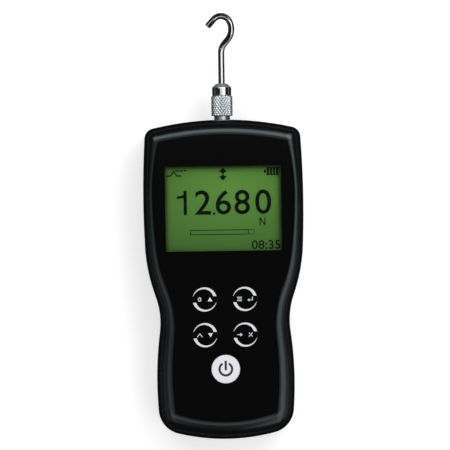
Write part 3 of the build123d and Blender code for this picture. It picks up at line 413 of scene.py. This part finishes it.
# The segments that the display shows lie just in front of the glass. Each figure of the reading
# stands between its own left and right edge.
SEGMENT_THICKNESS = 0.05
ON_GLASS = (GLASS_FRONT, SEGMENT_THICKNESS)
READING = (("2", -13.3, -5.8), ("6", -3.6, 3.6), ("8", 5.2, 12.4), ("0", 14.9, 22.4))
READING_LOW = 17.6
READING_HIGH = 29.0
segments = bmesh.new()
for digit, left, right in READING:
    figures(segments, digit, left, READING_LOW, right, READING_HIGH, ON_GLASS, weight=0.008)
# the reading's leading one, and its decimal point
bar(segments, -18.6, READING_LOW, -17.1, READING_HIGH, ON_GLASS)
sign(segments, ((-18.6, 27.2), (-19.6, 26.6), (-21.8, 26.3), (-21.8, 25.2), (-18.6, 25.5)), ON_GLASS)
bar(segments, -4.9, READING_LOW, -3.9, 18.6, ON_GLASS)
# clock and unit
figures(segments, "08:35", 13.0, 1.2, 26.4, 5.3, ON_GLASS)
figures(segments, "N", 16.8, 12.3, 19.6, 16.0, ON_GLASS)
# arrows for pull and push
sign(segments, ((-1.9, 37.4), (1.9, 37.4), (0, 39.6)), ON_GLASS)
bar(segments, -0.55, 36.5, 0.55, 37.4, ON_GLASS)
sign(segments, ((-1.9, 35.6), (0, 33.4), (1.9, 35.6)), ON_GLASS)
bar(segments, -0.55, 35.6, 0.55, 36.2, ON_GLASS)
# battery gauge: four full cells in an outline with its pole at the left
for left in (20.6, 22.0, 23.4, 24.8):
    bar(segments, left, 36.1, left + 1.05, 39.0, ON_GLASS)
bar(segments, 20.2, 35.7, 26.4, 36.1, ON_GLASS)
bar(segments, 20.2, 39.0, 26.4, 39.4, ON_GLASS)
bar(segments, 26.05, 36.1, 26.4, 39.0, ON_GLASS)
bar(segments, 19.2, 36.8, 20.2, 38.3, ON_GLASS)
# load bar, empty
for low, high in ((8.1, 8.45), (10.15, 10.5)):
    bar(segments, -15.8, low, 11.7, high, ON_GLASS)
for left in (-15.8, 11.35):
    bar(segments, left, 8.45, left + 0.35, 10.15, ON_GLASS)
# the bar's overload range, dotted
for left in (12.1, 12.95, 13.8):
    for low in (8.1, 10.15):
        bar(segments, left, low, left + 0.5, low + 0.35, ON_GLASS)
for low in (8.75, 9.5):
    bar(segments, 14.05, low, 14.4, low + 0.4, ON_GLASS)
# peak-hold sign: a peaked line, and dashes that hold its height
for left, right in ((-26.8, -24.9), (-21.3, -19.4)):
    bar(segments, left, 35.6, right, 36.2, ON_GLASS)
sign(segments, ((-25.2, 35.6), (-24.5, 35.6), (-23.1, 37.6), (-23.1, 38.6)), ON_GLASS)
sign(segments, ((-21.7, 35.6), (-21.0, 35.6), (-23.1, 38.6), (-23.1, 37.6)), ON_GLASS)
for left in (-22.1, -20.2, -18.3):
    bar(segments, left, 38.0, left + 1.3, 38.6, ON_GLASS)
# Black with a breath of green and almost no shine, as it lies under the polariser.
crystal_black = surface(
    "dark_liquid_crystal",
    colours=("#020A03", "#041006"),
    grain=0.5 * MM,  # the display's dots
    relief=0.001 * MM,
    roughness=(0.35, 0.45),
    IOR=1.5,
    Specular_IOR_Level=0.05,
)
piece_of(segments, "display_segments", "case", crystal_black)

# ---------------------------------------------------------------------------------------------
# Front shell. The other half of the case, moulded in the same ABS, with a soft rim that flows
# round the recess for the panel. Here its CAD mesh is merged, so that the light runs smoothly
# over the whole rim, and its sharp edges are kept.
# ---------------------------------------------------------------------------------------------
MERGE_DISTANCE = 0.002 * MM
SHELL_CREASE = radians(30)
shell = bmesh.new()
shell.from_mesh(nodes["front_shell"].data)
bmesh.ops.remove_doubles(shell, verts=shell.verts, dist=MERGE_DISTANCE)
bmesh.ops.dissolve_degenerate(shell, edges=shell.edges, dist=MERGE_DISTANCE)
for face in shell.faces:
    face.smooth = True
for edge in shell.edges:
    edge.smooth = len(edge.link_faces) == 2 and edge.calc_face_angle() < SHELL_CREASE
shell_data = bpy.data.meshes.new("moulded_front_shell")
shell.to_mesh(shell_data)
shell.free()
shell_data.materials.append(moulded_abs)
front = bpy.data.objects.new("moulded_front_shell", shell_data)
bpy.context.scene.collection.objects.link(front)
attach(front, "case")
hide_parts("front_shell")

# ---------------------------------------------------------------------------------------------
# Clear window. It is cut from clear acrylic sheet with polished faces, and glued into its
# rebate in the front shell, close over the display.
# ---------------------------------------------------------------------------------------------


def clear_sheet():
    """Clear acrylic. The eye looks through it and sees a faint sharp reflection on its face.

    It lets the lamps' light through to the display, a little dimmed.
    """
    material = bpy.data.materials.new("polished_clear_acrylic")
    material.use_nodes = True
    links = material.node_tree.links
    shader = material.node_tree.nodes["Principled BSDF"]
    shader.inputs["IOR"].default_value = 1.49
    shader.inputs["Transmission Weight"].default_value = 1.0
    place = add_node(material, "ShaderNodeTexCoord").outputs["Object"]
    # cast sheet is uneven over some 3 mm
    wave = add_node(material, "ShaderNodeTexNoise", {"Vector": place, "Scale": 1 / (3 * MM)})
    spread = add_node(
        material,
        "ShaderNodeMapRange",
        {"Value": wave.outputs["Fac"], "To Min": 0.0, "To Max": 0.02},
    )
    bump = add_node(
        material, "ShaderNodeBump", {"Height": wave.outputs["Fac"], "Distance": 0.001 * MM}
    )
    links.new(spread.outputs["Result"], shader.inputs["Roughness"])
    links.new(bump.outputs["Normal"], shader.inputs["Normal"])
    through = add_node(material, "ShaderNodeBsdfTransparent", {"Color": paint("#F8F9F8")})
    shadow = add_node(material, "ShaderNodeLightPath").outputs["Is Shadow Ray"]
    chosen = add_node(
        material,
        "ShaderNodeMixShader",
        {0: shadow, 1: shader.outputs["BSDF"], 2: through.outputs["BSDF"]},
    )
    output = material.node_tree.nodes["Material Output"]
    links.new(chosen.outputs["Shader"], output.inputs["Surface"])
    return material


dress(clear_sheet(), "display_window")

# ---------------------------------------------------------------------------------------------
# Front overlay. A flat polycarbonate sheet, printed black on its back and die cut round the
# window and the keys. It is stuck into the front shell's recess, level with the keys.
# ---------------------------------------------------------------------------------------------
# Near black and smooth, so it mirrors dimly but sharply.
printed_film = surface(
    "printed_polycarbonate_film",
    colours=("#060706", "#080908"),
    grain=0.6 * MM,  # ripple in the rolled sheet
    relief=0.0004 * MM,
    roughness=(0.06, 0.09),
    IOR=1.58,
    Specular_IOR_Level=0.25,
)
dress(printed_film, "front_overlay")

# ---------------------------------------------------------------------------------------------
# Keys. Four moulded black caps, each with two screen-printed white crescents and a small white
# sign, and a larger white cap with the power sign in black. Each cap moves with its own print.
# ---------------------------------------------------------------------------------------------
KEY_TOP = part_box("key_power")[1].z / MM
INK_THICKNESS = 0.03
ON_KEY = (KEY_TOP, INK_THICKNESS)
KEY_AXIS = Vector((0, 0, KEY_TOP * MM))  # every print is drawn about this, then moved to its key
HALF_TURN = Matrix.Rotation(pi, 3, "Z")
# each crescent: its outer radius, its width at its two ends, how fast it swells, how far its
# ends stay above the middle of the key, and the even ring that it starts from
RING_OUTER = 5.65
RING_THIN = 0.12
RING_THICK = 1.4
RING_SWELL = 0.85
RING_GAP = 1.5
RING_STEPS = 40
RING_DRAFT = 0.9
# the power sign: the radii of its ring, half of the ring's opening, and the bar in it
POWER_OUTER = 3.45
POWER_INNER = 2.42
POWER_OPENING = radians(30)
POWER_STEPS = 64
POWER_BAR_HALF = 0.52
POWER_BAR_LOW = -0.5
POWER_BAR_HIGH = 3.9

# The black of the panel around it, just as smooth.
key_black = surface(
    "moulded_black_key",
    colours=("#060706", "#080908"),
    grain=0.6 * MM,  # sink marks in the polished face
    relief=0.0004 * MM,
    roughness=(0.07, 0.1),
    IOR=1.5,
    Specular_IOR_Level=0.25,
)
# Cool white with a satin face.
key_white = surface(
    "moulded_white_key",
    colours=("#EEEEF5", "#F4F4FA"),
    grain=0.8 * MM,  # clouds in the pigment
    relief=0.003 * MM,
    roughness=(0.4, 0.5),
    IOR=1.5,
)
# Both inks dry dull, with the faint mesh of the printing screen in them.
white_ink = surface(
    "screen_printed_white_ink",
    colours=("#E2E4EA", "#EDEEF3"),
    grain=0.3 * MM,  # the screen's mesh is 0.1 mm, drawn coarser so that it shows
    relief=0.002 * MM,
    roughness=(0.45, 0.6),
    IOR=1.5,
)
black_ink = surface(
    "screen_printed_black_ink",
    colours=("#040408", "#07080C"),
    grain=0.3 * MM,  # as coarse as the white
    relief=0.002 * MM,
    roughness=(0.45, 0.6),
    IOR=1.5,
)


def crescent(mesh):
    """A printed arc over the sign that swells towards one end; both ends are cut level.

    It is spun as a ring of even width, whose inner side is then moved to where it belongs.
    """
    end_angle = asin(RING_GAP / RING_OUTER)
    start = Vector((-cos(end_angle), sin(end_angle), 0)) * RING_OUTER * MM
    ends = [mesh.verts.new(KEY_AXIS + start * share) for share in (1.0, RING_DRAFT)]
    bmesh.ops.spin(
        mesh,
        geom=ends + [mesh.edges.new(ends)],
        cent=KEY_AXIS,
        axis=(0, 0, 1),
        angle=2 * end_angle - pi,
        steps=RING_STEPS,
    )
    for v in mesh.verts:
        arm = v.co - KEY_AXIS
        if arm.length < (1 + RING_DRAFT) / 2 * RING_OUTER * MM:
            share = max((pi - end_angle - atan2(arm.y, arm.x)) / (pi - 2 * end_angle), 0)
            reach = RING_OUTER - RING_THIN - (RING_THICK - RING_THIN) * share**RING_SWELL
            cut = asin(RING_GAP / reach)
            angle = pi - cut - share * (pi - 2 * cut)
            v.co = KEY_AXIS + Vector((cos(angle), sin(angle), 0)) * reach * MM


def zero_and_up(mesh):
    """A zero and an upward arrow head."""
    figures(mesh, "0", -3.1, -1.0, -1.6, 1.0, ON_KEY)
    sign(mesh, ((1.4, -0.9), (3.6, -0.9), (2.5, 1.0)), ON_KEY)


def menu_and_return(mesh):
    """Three menu lines, and an arrow that turns back to the left."""
    for rise in (-0.95, -0.15, 0.65):
        bar(mesh, -3.6, rise, -1.4, rise + 0.32, ON_KEY)
    bar(mesh, 2.0, -0.66, 3.7, -0.34, ON_KEY)
    bar(mesh, 3.38, -0.34, 3.7, 1.0, ON_KEY)
    sign(mesh, ((2.1, -1.2), (2.1, 0.2), (1.2, -0.5)), ON_KEY)


def peak_and_down(mesh):
    """A peak of two strokes, and a downward arrow head."""
    sign(mesh, ((-3.9, -0.9), (-3.5, -0.9), (-2.5, 0.5), (-2.5, 1.0)), ON_KEY)
    sign(mesh, ((-1.5, -0.9), (-1.1, -0.9), (-2.5, 1.0), (-2.5, 0.5)), ON_KEY)
    sign(mesh, ((1.4, 0.9), (2.5, -1.0), (3.6, 0.9)), ON_KEY)


def send_and_cancel(mesh):
    """An arrow to the right, and a cross."""
    bar(mesh, -3.8, -0.16, -2.2, 0.16, ON_KEY)
    sign(mesh, ((-2.4, -0.8), (-1.3, 0), (-2.4, 0.8)), ON_KEY)
    for rise in (-1, 1):
        stroke = ((1.5, -0.8 * rise), (1.8, -rise), (3.5, 0.8 * rise), (3.2, rise))
        sign(mesh, stroke, ON_KEY)


def print_on(key, mesh, ink):
    """Moves a finished print onto its key, with which it then rides."""
    low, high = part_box(key)
    middle = (low + high) / 2
    # a facetted cap's box is a few microns off, which the rounding takes away
    x = round(middle.x / MM, 2) * MM
    y = round(middle.y / MM, 2) * MM
    bmesh.ops.translate(mesh, vec=(x, y, 0), verts=mesh.verts)
    return piece_of(mesh, f"{key}_print", f"{key}_cap", ink)


for key, draw_sign in (
    ("key_zero_up", zero_and_up),
    ("key_menu_enter", menu_and_return),
    ("key_peak_down", peak_and_down),
    ("key_send_exit", send_and_cancel),
):
    dress(key_black, key)
    key_print = bmesh.new()
    crescent(key_print)
    upper = list(key_print.verts) + list(key_print.edges) + list(key_print.faces)
    lower = bmesh.ops.duplicate(key_print, geom=upper)["geom"]
    bmesh.ops.rotate(key_print, cent=KEY_AXIS, matrix=HALF_TURN, verts=verts_in(lower))
    thicken(key_print, list(key_print.faces), INK_THICKNESS)
    draw_sign(key_print)
    print_on(key, key_print, white_ink)

dress(key_white, "key_power")
power_print = bmesh.new()
opening = Vector((sin(POWER_OPENING), cos(POWER_OPENING), 0)) * MM
ends = [power_print.verts.new(KEY_AXIS + opening * radius) for radius in (POWER_OUTER, POWER_INNER)]
bmesh.ops.spin(
    power_print,
    geom=ends + [power_print.edges.new(ends)],
    cent=KEY_AXIS,
    axis=(0, 0, 1),
    angle=2 * POWER_OPENING - 2 * pi,
    steps=POWER_STEPS,
)
thicken(power_print, list(power_print.faces), INK_THICKNESS)
bar(power_print, -POWER_BAR_HALF, POWER_BAR_LOW, POWER_BAR_HALF, POWER_BAR_HIGH, ON_KEY)
print_on("key_power", power_print, black_ink)

# ---------------------------------------------------------------------------------------------
# Guard ring. A seal moulded in nitrile rubber. The closed shells hold it in the case's top wall,
# where it keeps dust out round the shaft.
# ---------------------------------------------------------------------------------------------
# Dull dark grey with no glints.
moulded_rubber = surface(
    "moulded_nitrile_rubber",
    colours=("#1B1B1C", "#222223"),
    grain=0.4 * MM,  # turning marks of the mould
    relief=0.01 * MM,
    roughness=(0.6, 0.75),
    IOR=1.52,
)
dress(moulded_rubber, "guard_ring")

# ---------------------------------------------------------------------------------------------
# Case screws and inserts. The zinc-plated screws pull the two shells together from the back.
# They turn into brass inserts, which are pressed hot into the front shell's bosses.
# ---------------------------------------------------------------------------------------------
dress(zinc_plated_steel, "case_screws")
# Bright and warm, with streaks along the insert from its straight knurl.
turned_brass = surface(
    "turned_brass",
    colours=("#C9A45A", "#D8B873"),
    grain=0.25 * MM,  # half of the knurl's pitch
    relief=0.003 * MM,
    roughness=(0.22, 0.32),
    stretch=(1, 1, 0.1),
    Metallic=1.0,
)
dress(turned_brass, "case_inserts")

# ---------------------------------------------------------------------------------------------
# Sensing shaft. Turned from bright steel and screwed into the load cell's upper arm. Its neck
# passes through the guard ring, and its stud carries the lock nut and the hook.
# ---------------------------------------------------------------------------------------------
# Bright grey, with reflections drawn into lines round the shaft by the lathe tool.
bright_steel = surface(
    "turned_bright_steel",
    colours=("#B8BABB", "#CFD1D2"),
    grain=0.2 * MM,  # the lathe's feed
    relief=0.002 * MM,
    roughness=(0.28, 0.36),
    stretch=(0.1, 1, 0.1),
    Metallic=1.0,
)
dress(bright_steel, "sensing_shaft")

# ---------------------------------------------------------------------------------------------
# Lock nut. A steel nut, turned, diamond knurled all over its rim for the fingers, chamfered at
# both ends and nickel plated matt. It locks the hook on the stud.
# ---------------------------------------------------------------------------------------------
nut_low, nut_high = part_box("lock_nut")
NUT_START = nut_low.y / MM
NUT_END = nut_high.y / MM
NUT_RADIUS = nut_high.x / MM
NUT_CHAMFER = 0.35
STUD_BORE = 3.05
KNURL_DEPTH = 0.46
KNURL_AROUND = 44
KNURL_ALONG = 9
KNURL_LENGTH = NUT_END - NUT_START - 2 * NUT_CHAMFER
KNURL_CREASE = 12  # degrees; the facets are shallow and stay sharp
LOAD_AXIS = Vector((0, 0, (nut_low.z + nut_high.z) / 2))


def edges_in(made):
    """The edges among what an operator made."""
    return [part for part in made if isinstance(part, bmesh.types.BMEdge)]


def ends_of(edges):
    """The vertices at the ends of some edges, each once."""
    return list({v for edge in edges for v in edge.verts})


def off_axis(place):
    """How far, and which way, a place lies from the load axis."""
    return Vector((place.x, 0, place.z - LOAD_AXIS.z))


nut = bmesh.new()
bmesh.ops.create_cone(
    nut,
    segments=KNURL_AROUND,
    radius1=NUT_RADIUS * MM,
    radius2=NUT_RADIUS * MM,
    depth=KNURL_LENGTH * MM,
    matrix=Matrix.Translation(LOAD_AXIS + Vector((0, (NUT_START + NUT_END) / 2 * MM, 0)))
    @ Matrix.Rotation(radians(90), 4, "X"),
)
along = [e for e in nut.edges if abs(e.verts[0].co.y - e.verts[1].co.y) > MM]
bmesh.ops.subdivide_edges(nut, edges=along, cuts=KNURL_ALONG - 1, use_grid_fill=True)

# Every second vertex lies in a groove, and each facet folds along the line between its grooves.
grooves = set()
for v in nut.verts:
    row = round((v.co.y / MM - NUT_START - NUT_CHAMFER) / KNURL_LENGTH * KNURL_ALONG)
    column = round(atan2(off_axis(v.co).z, v.co.x) / (2 * pi) * KNURL_AROUND)
    if (row + column) % 2:
        grooves.add(v)
for face in list(nut.faces):
    low = [v for v in face.verts if v in grooves]
    if len(face.verts) == 4 and len(low) == 2:
        bmesh.utils.face_split(face, low[0], low[1])
for v in grooves:
    v.co -= off_axis(v.co).normalized() * KNURL_DEPTH * MM

# Each end is drawn in to its chamfer and then to the bore, and a tube joins the two ends.
for knurl_end, nut_end in ((NUT_START + NUT_CHAMFER, NUT_START), (NUT_END - NUT_CHAMFER, NUT_END)):
    rim = [
        e
        for e in nut.edges
        if e.is_boundary and abs(e.verts[0].co.y - knurl_end * MM) < 0.001 * MM
    ]
    for radius in (NUT_RADIUS - NUT_CHAMFER, STUD_BORE):
        rim = edges_in(bmesh.ops.extrude_edge_only(nut, edges=rim)["geom"])
        for v in ends_of(rim):
            v.co = LOAD_AXIS + off_axis(v.co).normalized() * radius * MM
            v.co.y = nut_end * MM
bmesh.ops.bridge_loops(nut, edges=[e for e in nut.edges if e.is_boundary])

# Silvery white without mirror images, so that each facet of the knurl has its own even grey.
matt_nickel = surface(
    "matt_nickel_plate",
    colours=("#D3DADE", "#E2E8EB"),
    grain=0.3 * MM,  # the bath's grain is under 0.01 mm, drawn coarser so that it shows
    relief=0.003 * MM,
    roughness=(0.32, 0.44),
    Metallic=1.0,
)
nut_piece = piece_of(nut, "knurled_lock_nut", "lock_nut", matt_nickel, crease=KNURL_CREASE)
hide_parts("lock_nut")

# ---------------------------------------------------------------------------------------------
# Hook ferrule. A steel collar, turned with a smooth barrel and a cone, drilled from both ends
# for the stud and the wire, polished and chrome plated. It screws onto the stud.
# ---------------------------------------------------------------------------------------------
ferrule_low, ferrule_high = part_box("hook_ferrule")
BARREL_START = ferrule_low.y / MM
BARREL_RADIUS = 4.5
BARREL_EDGE = 0.4  # rings this far from the barrel's ends keep the light straight along it
CONE_START = 77.3
CONE_RADIUS = 2.6
FERRULE_END = ferrule_high.y / MM
EDGE_ROUNDING = 0.3
EDGE_ANGLE = radians(30)
EDGES_BEYOND = 2.5  # only the edges outside this radius are rounded
STUD_HOLE_END = 76.7
WIRE_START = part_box("hook_wire")[0].y / MM
WIRE_RADIUS = 1.5
TURN_STEPS = 96

ferrule_section = (
    (STUD_BORE, BARREL_START),
    (BARREL_RADIUS, BARREL_START),
    (BARREL_RADIUS, BARREL_START + BARREL_EDGE),
    (BARREL_RADIUS, CONE_START - BARREL_EDGE),
    (BARREL_RADIUS, CONE_START),
    (CONE_RADIUS, FERRULE_END),
    (WIRE_RADIUS, FERRULE_END),
    (WIRE_RADIUS, WIRE_START),
    (0, WIRE_START),
    (0, STUD_HOLE_END),
    (STUD_BORE, STUD_HOLE_END),
)
ferrule = bmesh.new()
points = [ferrule.verts.new(LOAD_AXIS + Vector((r * MM, y * MM, 0))) for r, y in ferrule_section]
lines = [ferrule.edges.new(pair) for pair in zip(points, points[1:] + points[:1])]
bmesh.ops.spin(
    ferrule,
    geom=points + lines,
    cent=LOAD_AXIS,
    axis=(0, 1, 0),
    angle=2 * pi,
    steps=TURN_STEPS,
    use_merge=True,
)
bmesh.ops.remove_doubles(ferrule, verts=ferrule.verts, dist=0.0001 * MM)
loose = [e for e in ferrule.edges if not e.link_faces]
bmesh.ops.delete(ferrule, geom=loose, context="EDGES")
bmesh.ops.recalc_face_normals(ferrule, faces=ferrule.faces)
outside_edges = [
    e
    for e in ferrule.edges
    if len(e.link_faces) == 2
    and e.calc_face_angle() > EDGE_ANGLE
    and all(off_axis(v.co).length > EDGES_BEYOND * MM for v in e.verts)
]
bmesh.ops.bevel(
    ferrule,
    geom=outside_edges,
    offset=EDGE_ROUNDING * MM,
    segments=3,
    profile=0.5,
    affect="EDGES",
    material=-1,
)

# The barrel and the wire mirror their surroundings sharply, in clean white and black.
polished_chrome = surface(
    "polished_chrome_plate",
    colours=("#D6D8DA", "#E2E4E6"),
    grain=1.5 * MM,  # waves that the polishing wheel leaves
    relief=0.0008 * MM,
    roughness=(0.05, 0.1),
    Metallic=1.0,
)
# The cone kept its turned face under the plating, so it is an even light grey.
satin_chrome = surface(
    "satin_chrome_plate",
    colours=("#D2D7DA", "#DEE3E6"),
    grain=0.4 * MM,  # the lathe's feed is 0.1 mm, drawn coarser so that it shows
    relief=0.002 * MM,
    roughness=(0.56, 0.64),
    stretch=(0.2, 1, 0.2),
    Metallic=1.0,
)
for face in ferrule.faces:
    face.material_index = int(face.calc_center_median().y > CONE_START * MM)
ferrule_piece = piece_of(ferrule, "polished_ferrule", "hook", polished_chrome, satin_chrome)
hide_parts("hook_ferrule")

# ---------------------------------------------------------------------------------------------
# Hook wire. One length of hard steel wire, bent cold round pins in three bends, cut off square,
# rounded at its tip, polished, chrome plated, and pressed into the ferrule.
# ---------------------------------------------------------------------------------------------
WIRE_SIDES = 32
BEND_STEP = 4
TIP_ROUNDING = 0.6
# straight length, then bend radius and turn to the left in degrees
BENDS = ((16.4, 6.5, -40), (2.4, 7.9, 70), (0, 4.4, 108), (4.7, 0, 0))
wire = bmesh.new()
place = LOAD_AXIS + Vector((0, WIRE_START * MM, 0))
ahead = Vector((0, 1, 0))
bmesh.ops.create_circle(
    wire,
    segments=WIRE_SIDES,
    radius=WIRE_RADIUS * MM,
    cap_ends=False,
    matrix=Matrix.Translation(place) @ Matrix.Rotation(radians(90), 4, "X"),
)
ring = list(wire.edges)
bmesh.ops.edgeloop_fill(wire, edges=ring)
for length, radius, turn in BENDS:
    if length:
        ring = edges_in(bmesh.ops.extrude_edge_only(wire, edges=ring)["geom"])
        bmesh.ops.translate(wire, vec=ahead * length * MM, verts=ends_of(ring))
        place += ahead * length * MM
    if radius:
        left = Vector((-ahead.y, ahead.x, 0))
        pin = place + left * radius * MM * (1 if turn > 0 else -1)
        spun = bmesh.ops.spin(
            wire,
            geom=ring + ends_of(ring),
            cent=pin,
            axis=(0, 0, 1),
            angle=radians(turn),
            steps=round(abs(turn) / BEND_STEP),
        )
        ring = edges_in(spun["geom_last"])
        swing = Matrix.Rotation(radians(turn), 3, "Z")
        place = pin + swing @ (place - pin)
        ahead = swing @ ahead
tip = bmesh.ops.edgeloop_fill(wire, edges=ring)["faces"]
bmesh.ops.bevel(
    wire,
    geom=list(tip[0].edges),
    offset=TIP_ROUNDING * MM,
    segments=4,
    profile=0.5,
    affect="EDGES",
    material=-1,
)
wire_piece = piece_of(wire, "bent_hook_wire", "hook", polished_chrome)
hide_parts("hook_wire")

# ---------------------------------------------------------------------------------------------
# Studio. The gauge lies on a white table under seven soft boxes, in a dim room that looks white
# to the camera. The table keeps the gauge's shadow. Sizes here are in metres.
# ---------------------------------------------------------------------------------------------
WHITE = paint("#FFFFFF")
TABLE_SIZE = 5.0
TABLE_DROP = 0.1 * MM  # the table lies just clear of the gauge's back
TABLE_GLOW = 0.55
ROOM_GLOW = 0.024
LAMP_DISTANCE = 1.2


def flat_panel(name, size, centre, material):
    """A flat level sheet that belongs to the studio, not to the gauge."""
    mesh = bmesh.new()
    place = Matrix.Translation(centre) @ Matrix.Diagonal((*size, 1, 1))
    bmesh.ops.create_grid(mesh, x_segments=1, y_segments=1, size=0.5, matrix=place)
    data = bpy.data.meshes.new(name)
    mesh.to_mesh(data)
    mesh.free()
    data.materials.append(material)
    panel = bpy.data.objects.new(name, data)
    bpy.context.scene.collection.objects.link(panel)
    return panel


# Matt white; it glows where the camera, a mirror or glass looks at it, and lights nothing.
table_white = bpy.data.materials.new("white_laminate")
table_white.use_nodes = True
white_shader = table_white.node_tree.nodes["Principled BSDF"]
white_shader.inputs["Base Color"].default_value = paint("#E6E6E6")
white_shader.inputs["Roughness"].default_value = 0.8
white_shader.inputs["Specular IOR Level"].default_value = 0.1
white_shader.inputs["Emission Color"].default_value = WHITE
ray = add_node(table_white, "ShaderNodeLightPath")
seen = add_node(
    table_white,
    "ShaderNodeMath",
    {0: ray.outputs["Is Camera Ray"], 1: ray.outputs["Is Glossy Ray"]},
    operation="MAXIMUM",
)
seen_or_through = add_node(
    table_white,
    "ShaderNodeMath",
    {0: seen.outputs["Value"], 1: ray.outputs["Is Transmission Ray"]},
    operation="MAXIMUM",
)
table_glow = add_node(
    table_white,
    "ShaderNodeMath",
    {0: seen_or_through.outputs["Value"], 1: TABLE_GLOW},
    operation="MULTIPLY",
)
glow_socket = white_shader.inputs["Emission Strength"]
table_white.node_tree.links.new(table_glow.outputs["Value"], glow_socket)
flat_panel("studio_table", (TABLE_SIZE, TABLE_SIZE), (0, 0, -TABLE_DROP), table_white)

world = bpy.data.worlds.new("studio")
world.use_nodes = True
bpy.context.scene.world = world
backdrop = world.node_tree.nodes["Background"]
backdrop.inputs["Color"].default_value = WHITE
looked_at = add_node(world, "ShaderNodeLightPath").outputs["Is Camera Ray"]
room_glow = add_node(
    world, "ShaderNodeMapRange", {"Value": looked_at, "To Min": ROOM_GLOW, "To Max": 1.0}
)
world.node_tree.links.new(room_glow.outputs["Result"], backdrop.inputs["Strength"])


def soft_box(name, aim_from, tilt, spread, width, radiance, slide=0.0):
    """A soft box that faces the gauge from one side, tilted away from straight above.

    aim_from is clockwise from the hook's end, and spread is how far the box reaches in tilt,
    all in degrees; width and slide are in metres, and slide moves it clockwise.
    """
    lamp = bpy.data.lights.new(name, "AREA")
    lamp.shape = "RECTANGLE"
    lamp.size = width
    lamp.size_y = 2 * LAMP_DISTANCE * tan(radians(spread / 2))
    lamp.energy = radiance * pi * lamp.size * lamp.size_y
    holder = bpy.data.objects.new(name, lamp)
    away = Vector((sin(radians(aim_from)), cos(radians(aim_from)), 0))
    direction = away * sin(radians(tilt)) + Vector((0, 0, cos(radians(tilt))))
    across = Vector((away.y, -away.x, 0))
    holder.location = direction * LAMP_DISTANCE + across * slide
    holder.rotation_euler = direction.to_track_quat("Z", "Y").to_euler()
    holder.visible_camera = False
    bpy.context.scene.collection.objects.link(holder)


soft_box("soft_box_right", aim_from=90, tilt=26, spread=32, width=2.6, radiance=1.5)
soft_box("soft_box_top", aim_from=0, tilt=28, spread=24, width=1.8, radiance=2.9)
soft_box("soft_box_bottom", aim_from=180, tilt=15, spread=10, width=0.9, radiance=1.3)
soft_box(
    "soft_box_over_hook", aim_from=0, tilt=5.8, spread=2.6, width=0.58, radiance=1.25, slide=-0.08
)
# These three end level with the top of the case, so that the chrome above keeps its dark side.
soft_box(
    "soft_box_left", aim_from=-90, tilt=22, spread=24, width=0.96, radiance=0.65, slide=-0.44
)
soft_box(
    "fill_box_left", aim_from=-90, tilt=55, spread=30, width=0.96, radiance=0.25, slide=-0.44
)
soft_box("fill_box_right", aim_from=90, tilt=57, spread=30, width=0.96, radiance=0.4, slide=0.44)

# Four black cards show in reflections only. The one under the gauge gives the chrome and the
# glossy rim their dark edges; the small ones hang over the hook and darken its bends and tip.
card_black = surface(
    "black_card",
    colours=("#0A0A0A", "#0D0D0D"),
    grain=2 * MM,  # flecks in the pulp
    relief=0.01 * MM,
    roughness=(0.8, 0.9),
)
for name, size, centre in (
    ("black_card_under", (1.2, 1.2), (0, 0, -TABLE_DROP / 2)),
    ("black_card_over_hook", (0.1, 0.08), (-0.015, 0.158, 0.06)),
    ("black_card_over_bowl", (0.0135, 0.0105), (-0.0005, 0.1025, 0.026)),
    ("black_card_over_bend", (0.0075, 0.0065), (0.005, 0.098, 0.026)),
):
    card = flat_panel(name, size, centre, card_black)
    card.visible_camera = False
    card.visible_diffuse = False
    card.visible_shadow = False

# ---------------------------------------------------------------------------------------------
# Camera. It looks straight down on the gauge from 3 m, with a lens so long that the sides of
# the case don't show. The gauge lies a little turned in its view.
# ---------------------------------------------------------------------------------------------
CAMERA_HEIGHT = 3.0  # above the load axis
FRAME_WIDTH = 0.2116  # how much of that level the camera sees
VIEW_CENTRE = Vector((0.62, 12.66, 19.0)) * MM
LEAN = radians(-0.85)
SENSOR_WIDTH = 36.0
CLIP_END = 20.0
camera_data = bpy.data.cameras.new("camera")
camera_data.sensor_width = SENSOR_WIDTH
camera_data.lens = SENSOR_WIDTH * CAMERA_HEIGHT / FRAME_WIDTH
camera_data.clip_end = CLIP_END
camera = bpy.data.objects.new("camera", camera_data)
camera.location = VIEW_CENTRE + Vector((0, 0, CAMERA_HEIGHT))
camera.rotation_euler = (0, 0, LEAN)
bpy.context.scene.collection.objects.link(camera)
bpy.context.scene.camera = camera
bpy.context.scene.view_settings.view_transform = "Standard"
